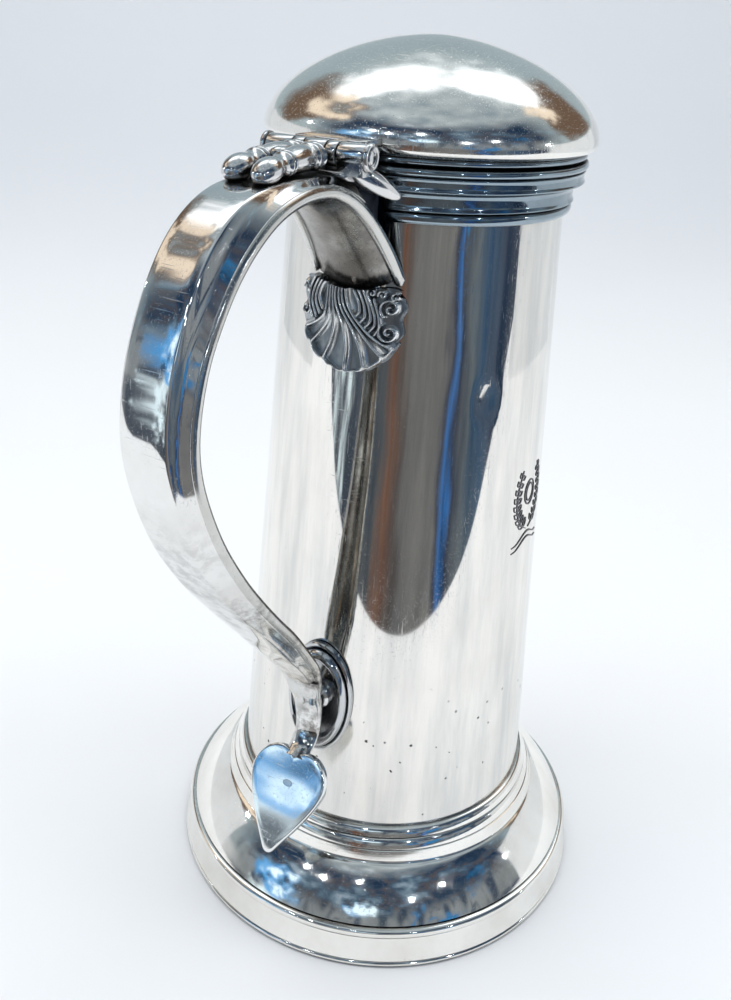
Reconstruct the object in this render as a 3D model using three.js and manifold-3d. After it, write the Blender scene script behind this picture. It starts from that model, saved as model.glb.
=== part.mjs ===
// Lidded pewter tankard: a tall tapered drinking vessel on a domed foot, with a hinged domed lid,
// a hollow strap handle, a cast shell at the handle's upper joint and a heart at its lower end.
// Millimetres, +Z up. The origin is on the vessel's axis, in the plane that the foot stands on.
// The handle lies in the XZ plane and points along +X. The lid's hinge pin runs along Y.
import * as THREE from 'three';
import { mergeVertices } from 'three/addons/utils/BufferGeometryUtils.js';
import Module from 'manifold-3d';

const wasm = await Module();
wasm.setup();

// General
const GAP = 0.3; // clearance between pieces that touch on the real object
const SEGMENTS = 36; // facets round every turned piece
const SMALL_SEGMENTS = 16; // facets round the hinge parts and the volutes
const CURVE_SEGMENTS = 8; // facets along each drawn curve of a plate
const ALONG_X = new THREE.Vector3(1, 0, 0);
const ALONG_Y = new THREE.Vector3(0, 1, 0);
const ALONG_Z = new THREE.Vector3(0, 0, 1);

// Foot
const FOOT_RADIUS = 77;
const EDGE_BORE = 73.4;
const EDGE_HEIGHT = 2.3;
const SKIRT_FOOT_RADIUS = 76.4;
const SKIRT_TOP_RADIUS = 73.8;
const SKIRT_WALL = 2;
const SKIRT_TOP = 11.2;
const LOWER_BEAD_BORE = 71.2;
const LOWER_BEAD_RADIUS = 74.8;
const LOWER_BEAD_TOP = 14.7;
const DOME_FOOT_RADIUS = 72.6;
const SHOULDER_Z = 34.6; // top of the foot, where the body stands
const SHOULDER_RADIUS = 57.3;
const FLANGE_RADIUS = 46; // inner edge of the shoulder that carries the floor
const SECOND_BEAD_TOP = 38.2;
const SECOND_BEAD_RADIUS = 57;
const UPPER_BEAD_TOP = 41.7;
const UPPER_BEAD_RADIUS = 55.6;

// Body
const BODY_LOW_Z = SHOULDER_Z + GAP;
const BODY_TOP_Z = 258;
const BODY_LOW_RADIUS = 53.13;
const BODY_TOP_RADIUS = 40.43;
const WALL = 1.6;
const FLOOR_THICKNESS = 1.6;

// Rim mouldings, from the lowest up
const RIM_BEAD_LOW = 243.4;
const RIM_BEAD_RADIUS = 43.4;
const LOWER_BAND_LOW = 246.6;
const LOWER_BAND_RADIUS = 44;
const UPPER_BAND_LOW = 251.9;
const UPPER_BAND_RADIUS = 46.4;
const LIP_LOW = 256;
const LIP_RADIUS = 46.9;

// Lid
const LID_FLANGE_LOW = 258.7;
const LID_FLANGE_TOP = 260.2;
const LID_FLANGE_RADIUS = 46.2;
const LID_LOW = LID_FLANGE_TOP + GAP;
const LID_EDGE_RADIUS = 46.5; // where the dome stands on its flange
const LID_RADIUS = 48.67;
const LID_WIDEST_Z = 263.1;
const LID_RISE = 25.4;
const LID_WALL = 1.4;
const LID_SHOULDER_POWER = 1.146;
const LID_CROWN_POWER = 1.12;
const LID_STEPS = 8;
const BEZEL_RADIUS = 38.2;
const BEZEL_WALL = 1.4;
const BEZEL_LOW = 255;

// Hinge
const HINGE_X = 62.5;
const HINGE_Z = 261.8;
const LUG_RADIUS = 3;
const BORE_RADIUS = 1.4;
const PIN_RADIUS = 1.1;
const BARREL_HALF = 14;
const CENTRE_LUG_HALF = 3;
const LID_LUG_INNER = 3.3;
const LID_LUG_OUTER = 6.3;
const SIDE_LUG_INNER = 6.6;
const CAP_RADIUS = 3.4;
const CAP_THICKNESS = 1.1;
const LEAF_THICKNESS = 1.8;
const LEAF_END_X = 58.9;
const BRACKET_LOW = 254.6;
const BRACKET_TOP = 258.2;
const BRACKET_END_X = 65.8;
const LUG_WEB_HALF = 2.4;

// Handle
const FACE_HALF = 6.5; // half the width of the strap's outer face
const STRAP_WALL = 1.2;
const BEAD_R = 1.5; // roll along each inner edge
const BEAD_CLEAR = 2 * BEAD_R + 1.5 * GAP; // from the inner edge to what lies on the rolls
const SIDE_INSET = 1.2; // how far the strap's sides stop inside the rolls
const BELLY_POINTS = [-1, -0.8, -0.4, 0, 0.4, 0.8, 1]; // places across the rounded underside
const LINER_THICKNESS = 1.5;
const ROOT_TOP = 252.9; // top of the wedge between the arch and the body
const ROOT_PLAN = [[35, 12.4], [50, 9.2], [66, 7.6]]; // half its width at three places
const HANDLE_STEPS = 32;
// Half the handle's width over its rolls, from the body round to the lower end
const HALF_WIDTHS = [15, 12.8, 11.2, 10.8, 10.8, 10.7, 10.6, 10.4, 9.8, 8.6, 6.2];
// How far the underside bellies out below its edges, over the same stretch
const BELLY = [3.2, 3.2, 2, 1.2, 0.8, 0.8, 0.8, 0.8, 0.8, 0.8, 0.8];

// Volutes on top of the handle
const VOLUTE_RADIUS = 3.6;
const VOLUTE_HALF_LENGTH = 6.2;
const VOLUTE_X = 88.6;
const VOLUTE_Z = 261.5;
const VOLUTE_OFFSET = 3.95;
const STEM_START_X = 66.7;
const STEM_END_X = 82;
const STEM_RADIUS = 2.85;
const STEM_RIBS = 3;
const RIB_HEIGHT = 0.35;

// Lower joint
const BOSS_Z = 89.3;
const BOSS_HALF_WIDTH = 12;
const BOSS_HALF_HEIGHT = 20.7;
const BOSS_THICKNESS = 1.6;
const RING_INSET = 0.8;
const RING_WIDTH = 3.4;
const RING_THICKNESS = 2;
const POST_RADIUS = 4.6;
const POST_TIP_RADIUS = 3.6;
const POST_END_X = 54.3;

// Heart at the end of the handle
const HEART_HALF_WIDTH = 13.7;
const HEART_LENGTH = 33;
const HEART_THICKNESS = 3;
const HEART_LEAN = THREE.MathUtils.degToRad(30);
const CLEFT_X = 65.5;
const CLEFT_Z = 74;
const HEART_WIDEST = -8; // below the cleft
const HEART_LOBE = 5.5; // rise of the lobes' pulling points above the cleft

// Cast shell under the upper joint
const SHELL_HALF_WIDTH = 17;
const SHELL_LOW = 200.3;
const SHELL_MIDDLE = 216; // height at which the fan is widest
const SHELL_HIGH = 227;
const SHELL_THICKNESS = 2.8;
const SHELL_LOBES = 7;
const LOBE_DEPTH = 0.7;

// The outer radius of the tapered body at a height
function bodyRadius(z) {
  const along = (z - BODY_LOW_Z) / (BODY_TOP_Z - BODY_LOW_Z);
  return THREE.MathUtils.lerp(BODY_LOW_RADIUS, BODY_TOP_RADIUS, along);
}

// A smooth value at 0 to 1 along evenly spaced values
function valueAlong(values, t) {
  const points = values.map((value, i) => new THREE.Vector2(i, value));
  return new THREE.SplineCurve(points).getPoint(t).y;
}

// A solid turned about Z from a closed outline of radius and height, drawn anticlockwise
function turned(path, divisions = 6) {
  const geometry = new THREE.LatheGeometry(path.getPoints(divisions), SEGMENTS);
  return geometry.rotateX(Math.PI / 2);
}

// A closed outline through corners of [radius, height]
function outline(corners) {
  const path = new THREE.Path();
  path.moveTo(...corners[0]);
  for (const corner of corners.slice(1)) {
    path.lineTo(...corner);
  }
  path.lineTo(...corners[0]);
  return path;
}

// A ring with a round outer edge and a straight bore
function beadOutline(bore, radius, low, high) {
  const bulge = (high - low) / 2;
  const path = new THREE.Path();
  path.moveTo(bore, low);
  path.lineTo(radius - bulge, low);
  path.absarc(radius - bulge, low + bulge, bulge, -Math.PI / 2, Math.PI / 2, false);
  path.lineTo(bore, high);
  path.lineTo(bore, low);
  return path;
}

// Geometry to a manifold solid, and back
function toSolid(geometry) {
  const bare = geometry.clone();
  bare.deleteAttribute('normal');
  bare.deleteAttribute('uv');
  const merged = mergeVertices(bare, 1e-4);
  const corners = merged.index.array;
  const kept = [];
  for (let i = 0; i < corners.length; i += 3) {
    const [a, b, c] = corners.slice(i, i + 3);
    if (a !== b && b !== c && c !== a) {
      kept.push(a, b, c);
    }
  }
  const vertProperties = new Float32Array(merged.attributes.position.array);
  const triVerts = new Uint32Array(kept);
  return new wasm.Manifold(new wasm.Mesh({ numProp: 3, vertProperties, triVerts }));
}

function toGeometry(solid) {
  const mesh = solid.getMesh();
  const geometry = new THREE.BufferGeometry();
  geometry.setAttribute('position', new THREE.BufferAttribute(mesh.vertProperties, 3));
  geometry.setIndex(new THREE.BufferAttribute(mesh.triVerts, 1));
  geometry.computeVertexNormals();
  return geometry;
}

// A prism on a shape, from its own plane up
function prism(shape, depth) {
  const options = { depth, bevelEnabled: false, curveSegments: CURVE_SEGMENTS };
  return new THREE.ExtrudeGeometry(shape, options);
}

// A prism along X from a shape drawn in Y and Z
function prismAlongX(shape, low, high) {
  const geometry = prism(shape, high - low);
  geometry.applyMatrix4(new THREE.Matrix4().makeBasis(ALONG_Y, ALONG_Z, ALONG_X));
  return geometry.translate(low, 0, 0);
}

// A prism along Y from a shape drawn in X and Z
function prismAlongY(shape, low, high) {
  const geometry = prism(shape, high - low);
  geometry.applyMatrix4(new THREE.Matrix4().makeBasis(ALONG_X, ALONG_Z, ALONG_Y.clone().negate()));
  return geometry.translate(0, high, 0);
}

// A box between two corners
function block([x0, y0, z0], [x1, y1, z1]) {
  const geometry = new THREE.BoxGeometry(x1 - x0, y1 - y0, z1 - z0);
  return geometry.translate((x0 + x1) / 2, (y0 + y1) / 2, (z0 + z1) / 2);
}

// A cylinder about the hinge pin's axis
function hingeCylinder(radius, low, high) {
  const geometry = new THREE.CylinderGeometry(radius, radius, high - low, SMALL_SEGMENTS);
  return geometry.translate(HINGE_X, (low + high) / 2, HINGE_Z);
}

// The hole for the pin, longer than the barrel at both ends
function hingeBore() {
  return toSolid(hingeCylinder(BORE_RADIUS, -BARREL_HALF - 1, BARREL_HALF + 1));
}

// A solid swept through sections. A station has a point, its outward normal and a closed section,
// anticlockwise, of [across, out] distances. Every section has the same number of corners.
function swept(stations) {
  const count = stations[0].section.length;
  const positions = [];
  for (const { point, normal, section } of stations) {
    for (const [across, out] of section) {
      positions.push(point.x + out * normal.x, point.y + across, point.z + out * normal.z);
    }
  }
  const index = [];
  for (let ring = 0; ring < stations.length - 1; ring += 1) {
    for (let i = 0; i < count; i += 1) {
      const a = ring * count + i;
      const b = ring * count + ((i + 1) % count);
      index.push(a, b, b + count, a, b + count, a + count);
    }
  }
  const last = (stations.length - 1) * count;
  for (const [ring, offset, turn] of [[0, 0, true], [stations.length - 1, last, false]]) {
    const corners = stations[ring].section.map(([across, out]) => new THREE.Vector2(across, out));
    for (const [a, b, c] of THREE.ShapeUtils.triangulateShape(corners, [])) {
      index.push(a + offset, (turn ? c : b) + offset, (turn ? b : c) + offset);
    }
  }
  const geometry = new THREE.BufferGeometry();
  geometry.setAttribute('position', new THREE.Float32BufferAttribute(positions, 3));
  geometry.setIndex(index);
  geometry.computeVertexNormals();
  return geometry;
}

// A smooth curve in the XZ plane
function planeCurve(points) {
  const places = points.map(([x, z]) => new THREE.Vector3(x, 0, z));
  return new THREE.CatmullRomCurve3(places, false, 'centripetal');
}

// The point and outward normal of a plane curve, with the curve running from the hinge or body outward
function stationAt(curve, t) {
  const tangent = curve.getTangentAt(t);
  return { point: curve.getPointAt(t), normal: new THREE.Vector3(-tangent.z, 0, tangent.x) };
}

function fractions(steps) {
  return Array.from({ length: steps + 1 }, (_, i) => i / steps);
}

// An oval section about a middle, as [across, out] corners
function ovalSection(across, out, halfAcross, halfOut, corners) {
  return fractions(corners).slice(1).map((t) => {
    const angle = t * 2 * Math.PI;
    return [across + halfAcross * Math.cos(angle), out + halfOut * Math.sin(angle)];
  });
}

// The handle's two faces: the outer face from the hinge, and the inner edge from the body
const outerCurve = planeCurve([
  [66.2, 257.2], [76, 257.8], [86, 257.9], [96.5, 256.9], [105, 253.8], [112.6, 248.4], [119, 240.8],
  [124.5, 231], [128.4, 220.5], [130.2, 207.5], [128.6, 196], [122, 178], [112, 161.8], [103.5, 151],
  [95, 141], [86.5, 131.2], [77.5, 120.5], [69.5, 111], [63.2, 101.5], [60, 92.5],
]);
const innerCurve = planeCurve([
  [38, 223.5], [42.5, 229.5], [48.5, 237], [55, 243.6], [62, 248.8], [70, 252.1], [78, 252.9], [86, 252.1],
  [94, 249.6], [101.5, 245.2], [108.6, 239], [114.5, 231.5], [119.3, 223], [122.6, 210], [122, 199.5],
  [115.5, 182], [105.6, 165.5], [97, 154], [89, 144.3], [80, 134], [71.5, 123], [64.5, 113.5],
  [58.8, 104], [55.3, 92.5],
]);

// The nearest place on the inner edge to a point, as a fraction, and its distance
function nearestInner(point) {
  let best = { t: 0, distance: Infinity };
  for (const t of fractions(200)) {
    const distance = innerCurve.getPointAt(t).distanceTo(point);
    if (distance < best.distance) {
      best = { t, distance };
    }
  }
  return best;
}

// Everything inside the body and its rim mouldings, grown by the gap, to cut what rests against them
function vesselCutter() {
  const corners = [[0, SHOULDER_Z], [BODY_LOW_RADIUS, SHOULDER_Z]];
  corners.push([bodyRadius(RIM_BEAD_LOW), RIM_BEAD_LOW]);
  corners.push([RIM_BEAD_RADIUS, RIM_BEAD_LOW], [RIM_BEAD_RADIUS, LOWER_BAND_LOW]);
  corners.push([LOWER_BAND_RADIUS, LOWER_BAND_LOW], [LOWER_BAND_RADIUS, UPPER_BAND_LOW]);
  corners.push([LIP_RADIUS, UPPER_BAND_LOW], [LIP_RADIUS, BODY_TOP_Z + 2 * GAP], [0, BODY_TOP_Z + 2 * GAP]);
  const grown = corners.map(([radius, z]) => [radius > 0 ? radius + GAP : 0, z - GAP]);
  return toSolid(turned(outline(grown)));
}

// A curved plate on the body's outside, with the outline of a shape drawn in Y and Z
function plateOnBody(shape, lift, thickness, low, high) {
  const skin = outline([
    [bodyRadius(low) + lift, low], [bodyRadius(low) + lift + thickness, low],
    [bodyRadius(high) + lift + thickness, high], [bodyRadius(high) + lift, high],
  ]);
  return toSolid(prismAlongX(shape, 1, FOOT_RADIUS)).intersect(toSolid(turned(skin)));
}

// Foot

function footEdge() {
  return turned(beadOutline(EDGE_BORE, FOOT_RADIUS, 0, EDGE_HEIGHT), 2);
}

function footSkirt() {
  const low = EDGE_HEIGHT + GAP;
  const pullRadius = SKIRT_TOP_RADIUS + 0.8;
  const pullZ = 6;
  const path = new THREE.Path();
  path.moveTo(SKIRT_FOOT_RADIUS - SKIRT_WALL, low);
  path.lineTo(SKIRT_FOOT_RADIUS, low);
  path.quadraticCurveTo(pullRadius, pullZ, SKIRT_TOP_RADIUS, SKIRT_TOP);
  path.lineTo(SKIRT_TOP_RADIUS - SKIRT_WALL, SKIRT_TOP);
  path.quadraticCurveTo(pullRadius - SKIRT_WALL, pullZ, SKIRT_FOOT_RADIUS - SKIRT_WALL, low);
  return turned(path, 3);
}

function footLowerBead() {
  return turned(beadOutline(LOWER_BEAD_BORE, LOWER_BEAD_RADIUS, SKIRT_TOP + GAP, LOWER_BEAD_TOP), 2);
}

function footDome() {
  const low = LOWER_BEAD_TOP + GAP;
  const path = new THREE.Path();
  path.moveTo(DOME_FOOT_RADIUS - WALL, low);
  path.lineTo(DOME_FOOT_RADIUS, low);
  path.bezierCurveTo(72.6, 23.5, 67.5, 29.4, 61, 31.4);
  path.quadraticCurveTo(SHOULDER_RADIUS, 32.4, SHOULDER_RADIUS, SHOULDER_Z);
  path.lineTo(FLANGE_RADIUS, SHOULDER_Z);
  path.lineTo(FLANGE_RADIUS, SHOULDER_Z - WALL);
  path.lineTo(SHOULDER_RADIUS - WALL, SHOULDER_Z - WALL);
  path.quadraticCurveTo(SHOULDER_RADIUS - 0.6, 31, 60.4, 29.8);
  path.bezierCurveTo(66.2, 27.8, 71, 22.5, DOME_FOOT_RADIUS - WALL, low);
  return turned(path, 4);
}

function footSecondBead() {
  const bore = BODY_LOW_RADIUS + GAP;
  return turned(beadOutline(bore, SECOND_BEAD_RADIUS, SHOULDER_Z + GAP, SECOND_BEAD_TOP), 2);
}

function footUpperBead() {
  const bore = BODY_LOW_RADIUS + GAP;
  return turned(beadOutline(bore, UPPER_BEAD_RADIUS, SECOND_BEAD_TOP + GAP, UPPER_BEAD_TOP), 2);
}

// Body

function bodyBarrel() {
  return turned(outline([
    [BODY_LOW_RADIUS - WALL, BODY_LOW_Z], [BODY_LOW_RADIUS, BODY_LOW_Z],
    [BODY_TOP_RADIUS, BODY_TOP_Z], [BODY_TOP_RADIUS - WALL, BODY_TOP_Z],
  ]));
}

function bodyFloor() {
  const radius = BODY_LOW_RADIUS - WALL - 2 * GAP;
  const top = BODY_LOW_Z + FLOOR_THICKNESS;
  const path = new THREE.Path();
  path.moveTo(0, BODY_LOW_Z);
  path.lineTo(radius, BODY_LOW_Z);
  path.lineTo(radius, top);
  path.lineTo(0, top);
  return turned(path);
}

// A moulding round the rim. Its bore clears the body, and its foot may be narrower than its top.
function rimBand(low, high, footRadius, topRadius) {
  const bore = bodyRadius(low) + GAP;
  return turned(outline([[bore, low], [footRadius, low], [topRadius, high], [bore, high]]));
}

function lipRing() {
  return turned(beadOutline(bodyRadius(LIP_LOW) + GAP, LIP_RADIUS, LIP_LOW, BODY_TOP_Z), 2);
}

// Lid

function lidFlange() {
  const bore = BEZEL_RADIUS + GAP;
  return turned(outline([
    [bore, LID_FLANGE_LOW], [LID_FLANGE_RADIUS, LID_FLANGE_LOW],
    [LID_FLANGE_RADIUS, LID_FLANGE_TOP], [bore, LID_FLANGE_TOP],
  ]));
}

function lidBezel() {
  const bore = BEZEL_RADIUS - BEZEL_WALL;
  return turned(outline([
    [bore, BEZEL_LOW], [BEZEL_RADIUS, BEZEL_LOW], [BEZEL_RADIUS, LID_FLANGE_TOP], [bore, LID_FLANGE_TOP],
  ]));
}

// The dome is a superellipse: upright at its widest, and flat at the crown
function lidDome() {
  const crown = (step, wall) => {
    const angle = (step / LID_STEPS) * (Math.PI / 2);
    const radius = (LID_RADIUS - wall) * Math.cos(angle) ** LID_SHOULDER_POWER;
    const z = LID_WIDEST_Z + (LID_RISE - wall) * Math.sin(angle) ** LID_CROWN_POWER;
    return [radius, z];
  };
  const corners = [[LID_EDGE_RADIUS - LID_WALL, LID_LOW], [LID_EDGE_RADIUS, LID_LOW]];
  corners.push([LID_RADIUS - 0.6, LID_LOW + 0.9]);
  for (let step = 0; step < LID_STEPS; step += 1) {
    corners.push(crown(step, 0));
  }
  const top = LID_WIDEST_Z + LID_RISE;
  corners.push([0, top], [0, top - LID_WALL]);
  for (let step = LID_STEPS - 1; step >= 0; step -= 1) {
    corners.push(crown(step, LID_WALL));
  }
  return turned(outline(corners));
}

// Hinge

// The lid's leaf, which runs from the lid's edge to two lugs on the pin
function lidLeaf() {
  const top = HINGE_Z + LUG_RADIUS;
  const low = top - LEAF_THICKNESS;
  const start = LID_RADIUS - 10; // well inside the lid, which is then cut away
  let solid = toSolid(block([start, -BARREL_HALF, low], [LEAF_END_X, BARREL_HALF, top]));
  for (const [from, to] of [[-LID_LUG_OUTER, -LID_LUG_INNER], [LID_LUG_INNER, LID_LUG_OUTER]]) {
    const tongue = block([LEAF_END_X - 2, from, low], [HINGE_X, to, top]);
    solid = solid.add(toSolid(tongue)).add(toSolid(hingeCylinder(LUG_RADIUS, from, to)));
  }
  const radius = LID_RADIUS + GAP;
  const lid = outline([[0, BEZEL_LOW], [radius, BEZEL_LOW], [radius, top + 1], [0, top + 1]]);
  return toGeometry(solid.subtract(toSolid(turned(lid))).subtract(hingeBore()));
}

// The fixed half of the hinge: a bracket on the rim with three lugs
function hingeBracket() {
  const start = LIP_RADIUS - 7; // well inside the rim, which is then cut away
  const side = new THREE.Shape();
  side.moveTo(start, BRACKET_LOW - 1.3);
  side.lineTo(HINGE_X - 4, BRACKET_LOW);
  side.lineTo(BRACKET_END_X, BRACKET_LOW);
  side.lineTo(BRACKET_END_X, BRACKET_TOP);
  side.lineTo(start, BRACKET_TOP);
  let solid = toSolid(prismAlongY(side, -BARREL_HALF, BARREL_HALF));
  const sideLugs = [[-BARREL_HALF, -SIDE_LUG_INNER], [SIDE_LUG_INNER, BARREL_HALF]];
  for (const [from, to] of [[-CENTRE_LUG_HALF, CENTRE_LUG_HALF], ...sideLugs]) {
    const webLow = [HINGE_X - LUG_WEB_HALF, from, BRACKET_TOP - 1];
    const web = block(webLow, [HINGE_X + LUG_WEB_HALF, to, HINGE_Z]);
    solid = solid.add(toSolid(web)).add(toSolid(hingeCylinder(LUG_RADIUS, from, to)));
  }
  return toGeometry(solid.subtract(hingeBore()).subtract(vesselCutter()));
}

function hingePin() {
  return hingeCylinder(PIN_RADIUS, -BARREL_HALF, BARREL_HALF);
}

// A cap on the end of the barrel, with a raised rim and the pin's riveted head in its middle
function hingeCap(side) {
  const recess = CAP_THICKNESS - 0.4;
  const headRadius = 1.6;
  const path = new THREE.Path();
  path.moveTo(0, 0);
  path.lineTo(CAP_RADIUS, 0);
  path.lineTo(CAP_RADIUS, CAP_THICKNESS);
  path.lineTo(CAP_RADIUS - 0.9, CAP_THICKNESS);
  path.lineTo(CAP_RADIUS - 1.2, recess);
  path.lineTo(headRadius, recess);
  path.quadraticCurveTo(headRadius - 0.2, CAP_THICKNESS, 0, CAP_THICKNESS);
  const geometry = new THREE.LatheGeometry(path.getPoints(3), SMALL_SEGMENTS);
  geometry.rotateX(side > 0 ? 0 : Math.PI);
  return geometry.translate(HINGE_X, side * (BARREL_HALF + GAP), HINGE_Z);
}

// Handle

// The outer half of the handle, a channel with a flat face and two sloping sides
function handleStrap() {
  const stations = fractions(HANDLE_STEPS).map((t) => {
    const station = stationAt(outerCurve, t);
    const inner = nearestInner(station.point);
    const depth = Math.max(inner.distance - BEAD_CLEAR, STRAP_WALL + 0.2);
    const half = valueAlong(HALF_WIDTHS, inner.t) - SIDE_INSET;
    const face = Math.min(FACE_HALF, half - 1.6);
    const inFace = face - STRAP_WALL;
    const inHalf = half - 1.4;
    station.section = [[-half, -depth], [-inHalf, -depth], [-inFace, -STRAP_WALL], [inFace, -STRAP_WALL]];
    station.section.push([inHalf, -depth], [half, -depth], [face, 0], [-face, 0]);
    return station;
  });
  return swept(stations);
}

// The inner half of the handle, a strip with a rounded underside
function handleLiner() {
  const stations = fractions(HANDLE_STEPS).map((t) => {
    const station = stationAt(innerCurve, t);
    const half = valueAlong(HALF_WIDTHS, t) - 2 * BEAD_R - GAP;
    const belly = valueAlong(BELLY, t);
    const drop = belly + 0.5;
    const under = BELLY_POINTS.map((across) => [across * half, 0.5 - drop * (1 - across * across)]);
    station.section = [...under, [half, LINER_THICKNESS], [-half, LINER_THICKNESS]];
    return station;
  });
  return toGeometry(toSolid(swept(stations)).subtract(vesselCutter()));
}

// The roll along one inner edge of the handle
function handleBead(side) {
  const stations = fractions(HANDLE_STEPS).map((t) => {
    const station = stationAt(innerCurve, t);
    const middle = side * (valueAlong(HALF_WIDTHS, t) - BEAD_R);
    station.section = ovalSection(middle, BEAD_R, BEAD_R, BEAD_R, 8);
    return station;
  });
  return toGeometry(toSolid(swept(stations)).subtract(vesselCutter()));
}

// The wedge that fills the corner between the handle's arch, the hinge bracket and the body
function handleRoot() {
  const [[x0, half0], [x1, half1], [x2, half2]] = ROOT_PLAN;
  const archShare = 0.2; // the part of the inner edge that lies under the wedge
  const side = new THREE.Shape();
  side.moveTo(x0, ROOT_TOP);
  for (const t of fractions(60)) {
    const { point, normal } = stationAt(innerCurve, t * archShare);
    const place = point.addScaledVector(normal, BEAD_CLEAR);
    if (place.z < ROOT_TOP) {
      side.lineTo(place.x, place.z);
    }
  }
  side.lineTo(60, ROOT_TOP);
  const plan = new THREE.Shape();
  plan.moveTo(x0, -half0);
  plan.quadraticCurveTo(x1, -half1, x2, -half2);
  plan.lineTo(x2, half2);
  plan.quadraticCurveTo(x1, half1, x0, half0);
  const column = toSolid(prism(plan, BODY_TOP_Z));
  const wedge = toSolid(prismAlongY(side, -half0 - 1, half0 + 1)).intersect(column);
  return toGeometry(wedge.subtract(vesselCutter()));
}

// The ribbed stem that lies on top of the handle, from the hinge to the two volutes
function voluteStem() {
  const length = STEM_END_X - STEM_START_X;
  const points = [new THREE.Vector2(0, 0)];
  for (const t of fractions(STEM_RIBS * 4)) {
    const rib = RIB_HEIGHT * (Math.cos(t * STEM_RIBS * 2 * Math.PI) - 1);
    points.push(new THREE.Vector2(STEM_RADIUS + rib, t * length));
  }
  points.push(new THREE.Vector2(0, length));
  const geometry = new THREE.LatheGeometry(points, SMALL_SEGMENTS);
  geometry.rotateZ(-Math.PI / 2);
  return geometry.translate(STEM_START_X, 0, VOLUTE_Z);
}

function volute(side) {
  const geometry = new THREE.SphereGeometry(VOLUTE_RADIUS, 16, 10);
  geometry.scale(VOLUTE_HALF_LENGTH / VOLUTE_RADIUS, 1, 1);
  return geometry.translate(VOLUTE_X, side * VOLUTE_OFFSET, VOLUTE_Z);
}

// Lower joint

// The oval plate on the body, with the outline of an ellipse
function bossPlate() {
  const shape = new THREE.Shape();
  shape.absellipse(0, BOSS_Z, BOSS_HALF_WIDTH, BOSS_HALF_HEIGHT, 0, 2 * Math.PI);
  const reach = BOSS_HALF_HEIGHT + 4;
  return toGeometry(plateOnBody(shape, GAP, BOSS_THICKNESS, BOSS_Z - reach, BOSS_Z + reach));
}

// The raised oval moulding on the plate
function bossRing() {
  const halfWidth = BOSS_HALF_WIDTH - RING_INSET;
  const halfHeight = BOSS_HALF_HEIGHT - RING_INSET;
  const shape = new THREE.Shape();
  shape.absellipse(0, BOSS_Z, halfWidth, halfHeight, 0, 2 * Math.PI);
  const hole = new THREE.Path();
  hole.absellipse(0, BOSS_Z, halfWidth - RING_WIDTH, halfHeight - RING_WIDTH, 0, 2 * Math.PI);
  shape.holes.push(hole);
  const lift = BOSS_THICKNESS + 2 * GAP;
  const reach = BOSS_HALF_HEIGHT + 4;
  return toGeometry(plateOnBody(shape, lift, RING_THICKNESS, BOSS_Z - reach, BOSS_Z + reach));
}

// The short post that joins the handle's lower end to the plate
function lowerPost() {
  const low = bodyRadius(BOSS_Z + 4) + BOSS_THICKNESS + 3 * GAP;
  const length = POST_END_X - low;
  const post = new THREE.CylinderGeometry(POST_TIP_RADIUS, POST_RADIUS, length, SMALL_SEGMENTS);
  post.rotateZ(-Math.PI / 2);
  return post.translate((low + POST_END_X) / 2, 0, BOSS_Z + 1);
}

// The heart's outline in its own plane, with its cleft at the origin and its tip below
function heartShape(grow) {
  const half = HEART_HALF_WIDTH + grow;
  const tip = -HEART_LENGTH - grow;
  const pull = HEART_LOBE + grow;
  const flank = HEART_WIDEST - 12;
  const shape = new THREE.Shape();
  shape.moveTo(0, tip);
  shape.bezierCurveTo(3.5, tip + 1, half, flank, half, HEART_WIDEST);
  shape.bezierCurveTo(half, 1, 5, pull, 0, grow);
  shape.bezierCurveTo(-5, pull, -half, 1, -half, HEART_WIDEST);
  shape.bezierCurveTo(-half, flank, -3.5, tip + 1, 0, tip);
  return shape;
}

// A slab of the heart's outline, in place at the end of the handle
function heartSlab(grow, hole) {
  const shape = heartShape(grow);
  if (hole) {
    shape.holes.push(hole);
  }
  const geometry = prism(shape, HEART_THICKNESS + 2 * grow);
  const up = new THREE.Vector3(-Math.sin(HEART_LEAN), 0, Math.cos(HEART_LEAN));
  const out = new THREE.Vector3(Math.cos(HEART_LEAN), 0, Math.sin(HEART_LEAN));
  geometry.applyMatrix4(new THREE.Matrix4().makeBasis(ALONG_Y, up, out));
  const back = HEART_THICKNESS + grow;
  return geometry.translate(CLEFT_X - back * out.x, 0, CLEFT_Z - back * out.z);
}

// The heart, with the small vent hole that lets air out of the hollow handle
function heartTerminal() {
  const hole = new THREE.Path();
  const halfWidth = 1.6;
  const halfHeight = 0.9;
  hole.absellipse(0.8, HEART_WIDEST - 0.5, halfWidth, halfHeight, 0, 2 * Math.PI);
  return heartSlab(0, hole);
}

// The narrow tail that curls from the handle's lower end down to the back of the heart
function handleTail() {
  const curve = planeCurve([[57.6, 90.8], [56.4, 85.5], [57, 79.6], [60.5, 75.2], [66, 73]]);
  const stations = fractions(14).map((t) => {
    const station = stationAt(curve, t);
    const half = THREE.MathUtils.lerp(5.6, 4.2, t);
    const thick = THREE.MathUtils.lerp(2.1, 1.6, t);
    station.section = ovalSection(0, 0, half, thick, 12);
    return station;
  });
  return toGeometry(toSolid(swept(stations)).subtract(toSolid(heartSlab(GAP))));
}

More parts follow.
